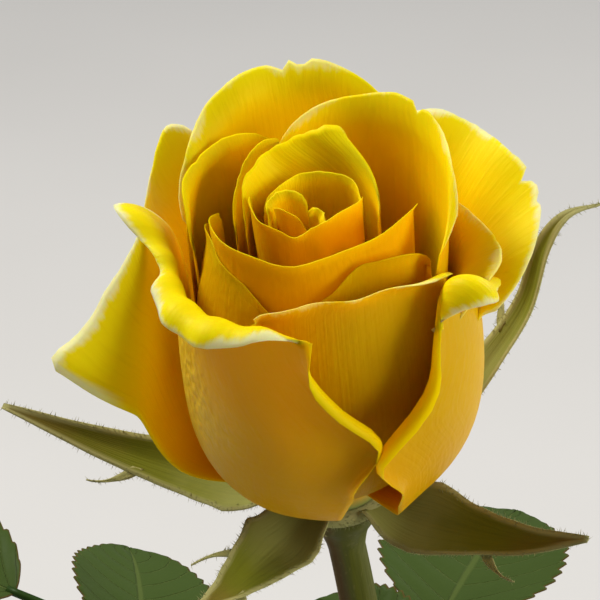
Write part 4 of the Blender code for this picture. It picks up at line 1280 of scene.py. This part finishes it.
def stem_side(t, azimuth):
    """The level way out at this azimuth, made square to the stem."""
    out = Vector((math.cos(math.radians(azimuth)), math.sin(math.radians(azimuth)), 0.0))
    ahead = stem_ahead(t)
    return (out - ahead * out.dot(ahead)).normalized()


def knots(angle, share):
    """The stem isn't quite round, and thickens a little now and then."""
    return 1.0 + 0.02 * math.cos(3.0 * angle + 5.0 * share) + 0.02 * wander(30.0 * share, angle, 3)


centres = [stem_point(i / STEM_STEPS) for i in range(STEM_STEPS + 1)]
radii = [stem_radius(i / STEM_STEPS) for i in range(STEM_STEPS + 1)]
for i in range(1, HIP_STEPS + 1):
    centre, radius = along_axis(HIP, i / HIP_STEPS)
    centres.append(BLOOM @ centre)
    radii.append(radius)
stem_body = drawn(centres, radii, STEM_SIDES, knots)
stem_middle = np.array([tuple(centres[min(k // STEM_SIDES, len(centres) - 1)])
                        for k in range(len(stem_body["points"]))])
outwards = unit(stem_body["points"] - stem_middle)
stem_body["values"]["sunny"] = np.clip(outwards @ np.array(SUN), 0.0, 1.0)
print("stem: from", [round(x) for x in centres[0]], "to", [round(x) for x in centres[-1]])

# %% [markdown]
# # The stem's green
#
# The cane is a deep green with fine lines along it, pale freckles, and a soft red where the sun
# reached it. The hip is a fresher green, which hides most of the red.

# %% Stem finish
def stem_look():
    look = Finish("stem_green", Coat_Weight=0.03, Coat_Roughness=0.35, Specular_IOR_Level=0.15)
    across = look.place()
    along = across.other("Y")
    lines = look.noise(look.join(across * 18.0, along * 22.0, 0.0), 1.0, 3.0)
    freckles = look.noise(look.where((1.0, 1.0, 0.45)), 1500.0, 1.0)
    sunny = look.attribute("sunny")
    colour = look.mix((0.046, 0.050, 0.003), (0.100, 0.106, 0.007), lines)
    red = look.between(sunny + (lines - 0.5) * 0.6, 0.25, 0.80)
    colour = look.mix(colour, (0.115, 0.034, 0.012), red * 0.6)
    colour = look.mix(colour, (0.14, 0.13, 0.030), look.between(freckles, 0.62, 0.72) * 0.4)
    hip = look.between(along, 0.88, 0.97)
    colour = look.mix(colour, (0.075, 0.090, 0.010), hip * 0.6)
    look.drive(Base_Color=colour, Roughness=0.42 + lines * 0.15, Normal=look.bump(lines, 0.15))
    return look.material


settle(piece("stem_cane", [stem_body], stem_look()), "stem", "stem")

# %% [markdown]
# # Prickles, with Geometry Nodes
#
# What people call a rose's thorns are prickles: they grow from the skin and point a little
# down. All have one shape and differ in size, so a tree makes them. It will take loose points
# with an outward direction and a size, and stand a hooked cone on each. First come the points:
# how far up the stem, at which azimuth, and how long in mm.

# %% The prickles' places
PRICKLES = [
    (0.655, 200, 6.0), (0.675, 20, 6.5), (0.705, 300, 6.0), (0.735, 95, 5.5),
    (0.745, 215, 6.0), (0.785, 330, 5.5), (0.815, 150, 5.5), (0.845, 260, 5.0),
    (0.885, 110, 4.5), (0.905, 345, 4.0),
]
SUNK = 1.0


def prickle_seats():
    """One loose point for each prickle, a little under the skin, with directions and size."""
    spots = []
    outs = []
    ups = []
    for t, azimuth, length in PRICKLES:
        out = stem_side(t, azimuth)
        spots.append(tuple((stem_point(t) + out * (stem_radius(t) - SUNK)) * MM))
        outs.append(tuple(out))
        ups.append(tuple(stem_ahead(t)))
    mesh = bpy.data.meshes.new("prickle_seats")
    mesh.from_pydata(spots, [], [])
    store(mesh, "outwards", outs)
    store(mesh, "ahead", ups)
    store(mesh, "size", [(length + SUNK) * MM for t, azimuth, length in PRICKLES])
    return bpy.data.objects.new("prickle_seats", mesh)


print("prickles:", len(PRICKLES))

# %% [markdown]
# # The prickle tree
#
# The tree makes one hooked cone, a unit long: each ring is pinched and moved along by its
# height squared, and flattened sideways. Two rotations then stand it on its point, first along
# the outward direction, then turned so that it hooks down the stem.

# %% The prickle tree
HOOK = 0.42
BASE_WIDTH = 0.34
PRICKLE_SIDES = 14
FLATTENED = 0.6


def prickle_tree():
    graph = new_tree("prickles", {"Base Width": BASE_WIDTH, "Hook": HOOK,
                                  "Sides": PRICKLE_SIDES})
    entry = graph.entry
    cone = graph.node("GeometryNodeMeshCone", {"fill_type": "NGON"}, {
        "Vertices": entry.other("Sides"), "Side Segments": 12, "Radius Top": 0.01,
        "Radius Bottom": entry.other("Base Width"), "Depth": 1.0})
    spot = graph.node("ShaderNodeSeparateXYZ", None, {0: graph.node("GeometryNodeInputPosition")})
    height = spot.other("Z")
    pinch = (1.05 - height) ** 0.6
    x = spot * pinch - height * height * entry.other("Hook")
    y = spot.other("Y") * pinch * FLATTENED
    bent = graph.node("ShaderNodeCombineXYZ", None, {0: x, 1: y, 2: height})
    hook = graph.node("GeometryNodeSetPosition", None, {0: cone, "Position": bent})
    stand = graph.node("FunctionNodeAlignRotationToVector", {"axis": "Z"},
                       {"Vector": stored(graph, "outwards", "FLOAT_VECTOR")})
    stand = graph.node("FunctionNodeAlignRotationToVector", {"axis": "X", "pivot_axis": "Z"},
                       {"Rotation": stand, "Vector": stored(graph, "ahead", "FLOAT_VECTOR")})
    points = graph.node("GeometryNodeMeshToPoints", None, {0: entry.other("Geometry")})
    prickles = graph.node("GeometryNodeInstanceOnPoints", None, {
        "Points": points, "Instance": hook, "Rotation": stand, "Scale": stored(graph, "size")})
    return end_tree(graph, prickles)


horn = two_tone("prickle_red", (0.20, 0.035, 0.020), (0.36, 0.16, 0.06), 500.0, Roughness=0.35)
seats = prickle_seats()
prickles = grown("stem_prickles", seats, prickle_tree(), horn, Base_Width=BASE_WIDTH,
                 Hook=HOOK, Sides=PRICKLE_SIDES)
bpy.data.objects.remove(seats)
settle(prickles, "stem")

# %% [markdown]
# # The leaves
#
# A rose leaf is a compound leaf: a stalk with pairs of leaflets and one larger leaflet at its
# end. An entry gives the leaf's name, its place along the stem, its azimuth, the stalk's length
# and rise in mm, and its leaflets: place on the stalk, side, length, half the width, and how
# much it droops.

# %% The leaves' numbers
LEAVES = [
    ("leaf_1", 0.665, 300, 78.0, 36.0, [
        (1.00, 0, 52.0, 17.0, 0.30), (0.72, 1, 42.0, 14.0, 0.25), (0.70, -1, 42.0, 14.0, 0.25),
        (0.42, 1, 32.0, 10.5, 0.2), (0.40, -1, 32.0, 10.5, 0.2)]),
    ("leaf_2", 0.735, 158, 64.0, 32.0, [
        (1.00, 0, 48.0, 16.0, 0.30), (0.70, 1, 38.0, 13.0, 0.25), (0.68, -1, 38.0, 13.0, 0.25),
        (0.40, 1, 28.0, 9.5, 0.2), (0.38, -1, 28.0, 9.5, 0.2)]),
    ("leaf_3", 0.79, 68, 26.0, 11.0, [
        (1.00, 0, 44.0, 16.5, 0.22), (0.60, 1, 31.0, 11.0, 0.2), (0.58, -1, 31.0, 11.0, 0.2)]),
]
print("leaflets:", sum(len(leaf[5]) for leaf in LEAVES))

# %% [markdown]
# # The surface of a leaflet
#
# Each leaflet is toothed like a fine saw, folds a little along its midrib, and is quilted
# between its side veins. All of that is one grid of points: its rows widen slowly and narrow
# fast for each tooth, so that the teeth point to the tip, and the quilting lifts the surface
# between lines that run forward from the midrib. It also waves a little along its edges.

# %% The surface of a leaflet
VEINS = 8
TEETH = 17
VEIN_LEAN = 0.66
TOOTH_PEAK, TOOTH_DEPTH = 0.75, 0.07
QUILT, LEAFLET_WAVE, LEAFLET_FOLD = 0.42, 0.5, 0.22


def leaflet_point(shape, t, k, number):
    """A point of the leaflet: t from its foot to its tip, k from edge to edge."""
    base, ahead, up, length, half, droop = shape
    side = ahead.cross(up).normalized()
    over = side.cross(ahead).normalized()
    centre = base + ahead * length * (t - droop * 0.25 * t ** 3) - over * length * droop * t * t
    width = half * math.sin(math.pi * min(t ** 0.8, 1.0)) ** 0.75 if 0.0 < t < 1.0 else 0.0
    width = max(width, 0.35)
    tooth = t * TEETH % 1.0
    saw = min(tooth / TOOTH_PEAK, (1.0 - tooth) / (1.0 - TOOTH_PEAK)) - 0.4
    width *= 1.0 + TOOTH_DEPTH * saw * abs(k) ** 3
    spread = abs(k)
    line = (t - VEIN_LEAN * spread ** 1.25 * half / length) * VEINS
    between = abs(math.sin(math.pi * line)) ** 0.7
    quilt = QUILT * between * min(4.0 * spread, 1.0) * (1.0 - spread ** 4) * min(6.0 * t, 1.0)
    phase = 11.0 * t + 3.0 * number + (1.5 if k > 0 else 0.0)
    wave = LEAFLET_WAVE * spread ** 3 * math.sin(phase)
    fold = width * LEAFLET_FOLD * k * k
    return centre + side * width * k + over * (fold + quilt + wave)


print("teeth on one side of a leaflet:", TEETH)

# %% [markdown]
# # Where the leaflets sit
#
# The stalk starts on a small cushion close to the stem, climbs steeply and bends over towards
# its tip. The side leaflets point outwards and a little forwards, and the last one goes on in
# the stalk's own direction. Each of them begins a little way back, inside the stalk.

# %% Stalks and leaflets
STALK_STEPS = 40
STALK_GAP, STALK_CUSHION, STALK_FOOT = 0.4, 0.9, 1.2
FORWARDS, OUTWARDS = 0.42, 0.9
END_OVERLAP, SIDE_OVERLAP = 1.5, 0.3


def stalk_point(t, start, out, length, rise):
    """A stalk leaves the stem steeply and bends over towards its tip."""
    lift = Vector((0.0, 0.0, rise * (1.5 * t - 0.5 * t * t)))
    return start + out * length * (0.55 * t + 0.45 * t * t) + lift


def leaf_shapes(t, azimuth, length, rise, leaflets):
    """The stalk's path, and where each leaflet sits on it."""
    out = stem_side(t, azimuth)
    start = stem_point(t) + out * (stem_radius(t) + STALK_GAP)
    level = Vector((out.x, out.y, 0.0)).normalized()
    foot = start + level * STALK_FOOT
    path = [start, start + level * STALK_CUSHION]
    path += [stalk_point(i / STALK_STEPS, foot, level, length, rise)
             for i in range(1, STALK_STEPS + 1)]
    across = level.cross(Vector((0.0, 0.0, 1.0)))
    shapes = []
    for share, side, size, half, droop in leaflets:
        at = stalk_point(share, foot, level, length, rise)
        along = (at - stalk_point(share - 0.1, foot, level, length, rise)).normalized()
        ahead, overlap = along, END_OVERLAP
        if side:
            ahead = (along * FORWARDS + across * side * OUTWARDS).normalized()
            overlap = SIDE_OVERLAP
        up = across.cross(along).normalized()
        base = at - ahead * overlap - up * 0.1
        shapes.append((base, ahead, up, size, half, droop))
    return path, shapes, across, foot, level


first_path = leaf_shapes(*LEAVES[0][1:])[0]
print("the first stalk ends at", [round(x) for x in first_path[-1]])

# %% [markdown]
# # The green of the leaves
#
# From above a rose leaf is deep green with a waxy shine and paler, sunken veins. From below it
# is light and matt. The veins of the finish follow the same lines as the quilting, with half a
# leaflet's width taken as 0.34 of its length, so colour and relief agree. The teeth often end
# in a tiny red edge.

# %% Leaf finish
LEAFLET_SLIM = 0.34


def leaf_look():
    look = Finish("leaf_green", Coat_Weight=0.02, Coat_Roughness=0.3, Specular_IOR_Level=0.12,
                  Specular_Tint=(0.7, 1.0, 0.5))
    across = look.place()
    along = across.other("Y")
    spread = look.node("ShaderNodeMath", {"operation": "ABSOLUTE"}, {0: across * 2.0 - 1.0})
    line = (along - spread ** 1.25 * (VEIN_LEAN * LEAFLET_SLIM)) * VEINS
    near = look.node("ShaderNodeMath", {"operation": "PINGPONG"}, {0: line, 1: 0.5})
    net = look.noise(look.where(), 900.0, 2.0, 0.6)
    side_vein = look.between(near + (net - 0.5) * 0.04, 0.07, 0.0)
    midrib = look.between(spread, 0.06, 0.02)
    vein = look.node("ShaderNodeMath", {"operation": "MAXIMUM"}, {0: side_vein * 0.8, 1: midrib})
    vein = vein * look.attribute("blade")
    outer = look.attribute("outer")
    patches = look.noise(look.where(), 70.0, 3.0)
    colour = look.mix((0.010, 0.027, 0.004), (0.026, 0.056, 0.007), patches)
    colour = look.mix(colour, (0.036, 0.070, 0.012), look.between(net, 0.5, 0.75) * 0.35)
    colour = look.mix(colour, (0.050, 0.078, 0.016), outer * 0.75)
    colour = look.mix(colour, (0.085, 0.115, 0.026), vein * 0.6)
    reddish = look.between(look.attribute("edge_mm"), 0.5, 0.05) * look.attribute("blade")
    colour = look.mix(colour, (0.110, 0.045, 0.012), reddish * 0.6)
    relief = look.bump(1.0 - vein, 0.25)
    relief = look.bump(net, 0.06, relief)
    look.drive(Base_Color=colour, Roughness=0.42 + outer * 0.25 + net * 0.08, Normal=relief)
    return look.material


LEAF_LOOK = leaf_look()
print("leaf finish:", len(LEAF_LOOK.node_tree.nodes), "nodes")

# %% [markdown]
# # Raised veins, with Geometry Nodes
#
# Under a leaf the veins stand out like cords. They follow the surface, so a tree makes them
# from bare lines: each line becomes a curve, its radius is read from the line's own points,
# and Curve to Mesh draws a small round bar along it.

# %% The vein tree
def vein_tree():
    graph = new_tree("veins", {"Thickness": 1.0, "Sides": 6})
    entry = graph.entry
    lines = graph.node("GeometryNodeMeshToCurve", None, {0: entry.other("Geometry")})
    ring = graph.node("GeometryNodeCurvePrimitiveCircle", None, {
        "Resolution": entry.other("Sides"), "Radius": 1.0})
    bars = graph.node("GeometryNodeCurveToMesh", None, {
        "Curve": lines, "Profile Curve": ring,
        "Scale": stored(graph, "size") * entry.other("Thickness"), "Fill Caps": True})
    return end_tree(graph, bars)


VEIN_TREE = vein_tree()
VEIN_LOOK = two_tone("vein_green", (0.085, 0.130, 0.045), (0.135, 0.170, 0.065), 200.0,
                     Roughness=0.55)
print("vein tree:", len(VEIN_TREE.nodes), "nodes")

# %% [markdown]
# # The lines of the veins
#
# The midrib tapers from the leaflet's foot nearly to its tip. The side veins start on it and
# run to the edge along the quilting's lines. Every point lies about a quarter of a millimetre
# under the middle of the blade, so that the bars are partly sunk in it.

# %% Vein lines
MIDRIB_STEPS, MIDRIB_LENGTH, MIDRIB_RADIUS = 24, 0.96, 0.42
SIDE_STEPS, SIDE_LENGTH, SIDE_RADIUS = 8, 0.9, 0.2
UNDER = 0.22


def vein_lines(name, shapes):
    """The midrib and the side veins of each leaflet, as bare lines just under the blade."""
    points = []
    edges = []
    sizes = []
    for number, shape in enumerate(shapes):
        up, length, half = shape[2:5]
        lines = [[(MIDRIB_LENGTH * i / MIDRIB_STEPS, 0.0,
                   MIDRIB_RADIUS * (1.0 - 0.8 * i / MIDRIB_STEPS))
                  for i in range(MIDRIB_STEPS + 1)]]
        for m in range(1, VEINS + 1):
            for way in (-1.0, 1.0):
                begin = (m - 0.5) / VEINS - 0.06
                run = [(begin + VEIN_LEAN * half / length * k ** 1.25, way * k,
                        SIDE_RADIUS * (1.05 - k))
                       for k in [j / SIDE_STEPS * SIDE_LENGTH for j in range(SIDE_STEPS + 1)]]
                lines.append([step for step in run if 0.02 < step[0] < 0.97])
        for line in lines:
            for i, (t, k, size) in enumerate(line):
                spot = leaflet_point(shape, t, k, number) - up * (UNDER + 0.2 * size)
                if i:
                    edges.append((len(points) - 1, len(points)))
                points.append(tuple(spot * MM))
                sizes.append(size * MM)
    mesh = bpy.data.meshes.new(name)
    mesh.from_pydata(points, edges, [])
    store(mesh, "size", sizes)
    return bpy.data.objects.new(name, mesh)


print("side veins on one leaflet:", 2 * VEINS)

# %% [markdown]
# # Making the leaves
#
# A leaf is one mesh: the stalk, drawn out along its path and thickest at its foot, the leaflets
# as blades, and two stipules, the narrow ears where the stalk meets the stem. Its veins are a
# second piece. Each tooth gets six rows of points, which is enough to keep it sharp.

# %% Making the leaves
LEAFLET_STEPS = 6 * TEETH
LEAFLET_ACROSS = 24
STIPULE_STEPS = 16
STIPULE_ACROSS = 4
STIPULE_INNER = -0.4
STALK_SIDES = 12
LEAFLET_THICKNESS, STIPULE_THICKNESS, LEAF_THINS_OVER = 0.4, 0.5, 0.5


def stipule_rows(way, across, foot, level, length, rise):
    """A narrow ear on one side of the stalk's foot. It tapers, and flares at its free end."""
    rows = []
    for i in range(STIPULE_STEPS + 1):
        s = i / STIPULE_STEPS
        at = stalk_point(0.02 + 0.2 * s, foot, level, length, rise)
        wide = 2.6 - 1.2 * s + 2.4 * max(s - 0.7, 0.0) - STIPULE_INNER
        rows.append([at + across * way * (STIPULE_INNER + wide * j / STIPULE_ACROSS)
                     for j in range(STIPULE_ACROSS + 1)])
    return rows


def leaf_bodies(t, azimuth, length, rise, leaflets):
    path, shapes, across, foot, level = leaf_shapes(t, azimuth, length, rise, leaflets)
    # The stalk's radii: a cushion where it leaves the stem, and then an even taper.
    thick = [1.9, 1.7] + [1.35 - 0.6 * i / STALK_STEPS for i in range(1, STALK_STEPS + 1)]
    bodies = [drawn(path, thick, STALK_SIDES)]
    for number, shape in enumerate(shapes):
        rows = [[leaflet_point(shape, i / LEAFLET_STEPS, 2.0 * j / LEAFLET_ACROSS - 1.0, number)
                 for j in range(LEAFLET_ACROSS + 1)] for i in range(LEAFLET_STEPS + 1)]
        body = blade(rows, LEAFLET_THICKNESS, LEAF_THINS_OVER)
        body["values"]["blade"] = np.ones(len(body["points"]))
        bodies.append(body)
    for way in (-1, 1):
        rows = stipule_rows(way, across, foot, level, length, rise)
        bodies.append(blade(rows, STIPULE_THICKNESS, LEAF_THINS_OVER))
    return bodies, shapes


for name, *numbers in LEAVES:
    bodies, shapes = leaf_bodies(*numbers)
    settle(piece(name + "_blades", bodies, LEAF_LOOK), "leaf", name)
    lines = vein_lines(name + "_lines", shapes)
    ribs = grown(name + "_veins", lines, VEIN_TREE, VEIN_LOOK, Thickness=1.0, Sides=6)
    bpy.data.objects.remove(lines)
    settle(ribs, "leaf")

# %% [markdown]
# # The vase
#
# The vase is out of the picture but not out of the model: someone who uses the rose will see
# it from every side. It is a bud vase turned on a wheel, with a full belly and a narrow neck.
# Its profile is read smoothly through the same points as the CAD's. They lie unevenly, so
# `along_profile` keeps account of the length between them. The inside is the outside moved in
# by the wall.

# %% Vase profile
VASE_OUTSIDE = [
    (29.0, 0.0), (30.6, 1.6), (35.5, 20.0), (41.0, 44.0), (43.0, 64.0), (41.0, 86.0),
    (34.0, 108.0), (24.5, 128.0), (17.8, 146.0), (15.2, 164.0), (16.2, 179.0), (19.2, 190.0),
]
VASE_WALL = 4.0
VASE_FLOOR = 7.0
INSIDE_FROM = 13.0


def along_profile(points, t):
    """A smooth curve through unevenly spaced points: each keeps its share of the length."""
    lengths = [0.0]
    for a, b in zip(points, points[1:]):
        lengths.append(lengths[-1] + math.dist(a, b))
    want = t * lengths[-1]
    i = max(k for k in range(len(points) - 1) if lengths[k] <= want + 1e-9)
    span = lengths[i + 1] - lengths[i]
    f = (want - lengths[i]) / span
    a, b = Vector(points[i]), Vector(points[i + 1])
    slope_a = slope_b = b - a
    if i > 0:
        slope_a = (b - Vector(points[i - 1])) * (span / (lengths[i + 1] - lengths[i - 1]))
    if i + 2 < len(points):
        slope_b = (Vector(points[i + 2]) - a) * (span / (lengths[i + 2] - lengths[i]))
    return (a * (2 * f ** 3 - 3 * f * f + 1) + slope_a * (f ** 3 - 2 * f * f + f)
            + b * (3 * f * f - 2 * f ** 3) + slope_b * (f ** 3 - f * f))


def inside_of(profile, wall):
    """The profile moved inwards along its own normals."""
    moved = []
    for i, (r, z) in enumerate(profile):
        r0, z0 = profile[max(i - 1, 0)]
        r1, z1 = profile[min(i + 1, len(profile) - 1)]
        length = math.hypot(r1 - r0, z1 - z0)
        moved.append((r - wall * (z1 - z0) / length, z + wall * (r1 - r0) / length))
    return [(r, z) for r, z in moved if z > INSIDE_FROM]


print("points of the inside wall:", len(inside_of(VASE_OUTSIDE, VASE_WALL)))

# %% [markdown]
# # Turning the vase
#
# The whole profile runs from the middle of the foot up the outside, over the rounded lip and
# down the inside to the middle of the floor, so that the turned body is closed. It is turned in
# 128 steps, and no flat shows.

# %% Turning the vase
VASE_SIDES = 128
WALL_STEPS = 90
FOOT = [(0.0, 0.0), (20.0, 0.0), (27.5, 0.0), (29.0, 0.0), (29.8, 0.35), (30.4, 1.0)]
LIP = [(19.9, 191.2), (19.7, 191.9), (19.3, 192.3), (18.7, 192.5), (18.1, 192.5),
       (17.4, 192.4), (16.9, 192.2), (16.4, 191.7), (16.0, 191.0)]
FLOOR = [(12.0, VASE_FLOOR), (0.0, VASE_FLOOR)]
# The inside wall comes down to a rounded corner at the floor.
CORNER = [(29.4, 10.5), (25.5, VASE_FLOOR)]
inner_points = inside_of(VASE_OUTSIDE, VASE_WALL)[::-1] + CORNER
outside, inside = [[tuple(along_profile(points, i / WALL_STEPS)) for i in range(WALL_STEPS + 1)]
                   for points in (VASE_OUTSIDE[1:], inner_points)]
vase_profile = FOOT + outside + LIP + inside + FLOOR
vase_body = turned(vase_profile, VASE_SIDES)
print("vase profile:", len(vase_profile), "points")

# %% [markdown]
# # A stoneware glaze
#
# A satin, grey-green glaze over brown clay. It breaks to brown at the lip, where it ran thin,
# and gathers darker in the neck. Small iron specks come through, each with a soft halo. The
# foot was wiped clean before firing, so the last two millimetres are bare clay. Object
# coordinates are in metres, and so are the heights at which these bands begin and end.

# %% Glaze finish
def glaze_look():
    look = Finish("stoneware_glaze", Coat_Roughness=0.16)
    spot = look.where()
    height = look.parts(spot).other("Z")
    clouds = look.noise(look.where((1.0, 1.0, 0.6)), 28.0, 4.0)
    fine = look.noise(spot, 700.0)
    cells = look.node("ShaderNodeTexVoronoi", {"feature": "F1"},
                      {"Vector": spot, "Scale": 210.0, "Randomness": 1.0})
    chosen = look.parts(cells.other("Color"))
    speck = look.between(cells, 0.20, 0.06) * look.between(chosen, 0.72, 0.80)
    colour = look.mix((0.36, 0.42, 0.34), (0.50, 0.54, 0.45), clouds)
    colour = look.mix(colour, (0.27, 0.33, 0.26), look.between(height, 0.150, 0.168) * 0.35)
    colour = look.mix(colour, (0.12, 0.07, 0.035), speck * 0.85)
    thin = look.between(height + (fine - 0.5) * 0.0012, 0.1895, 0.1922)
    colour = look.mix(colour, (0.33, 0.19, 0.09), thin * 0.8)
    bare = look.between(height + (clouds - 0.5) * 0.0010, 0.0026, 0.0021)
    colour = look.mix(colour, (0.36, 0.23, 0.14), bare)
    relief = look.bump(clouds, 0.25)
    relief = look.bump(fine * bare + speck * 0.4, 0.08, relief)
    look.drive(Base_Color=colour, Roughness=0.30 + clouds * 0.08 + bare * 0.5, Normal=relief,
               Coat_Weight=0.5 - bare * 0.5)
    return look.material


settle(piece("vase_turned", [vase_body], glaze_look()), "glaze", "vase")

# %% [markdown]
# # The water
#
# The water's solid has the right shape already, down to the hole where the stem stands, so the
# CAD part stays and only its finish is new: clear, hardly rough, with a breath of green.

# %% Water finish
clear = two_tone("clear_water", (0.93, 0.97, 0.95), (0.97, 0.99, 0.98), 40.0, Roughness=0.02,
                 IOR=1.333, Transmission_Weight=1.0)
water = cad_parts["water"]
water.data.materials.clear()
water.data.materials.append(clear)

# %% [markdown] # The sizes at the end The dressed rose may be a little larger than its CAD
# model, because waves and hairs stand proud, but not by much.

# %% Sizes
scene_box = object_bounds()


def plain(box):
    return [[float(x) for x in corner] for corner in box]


for name, box in (("cad", cad_box), ("scene", scene_box)):
    print(name, [[round(1000 * float(x), 1) for x in corner] for corner in box])
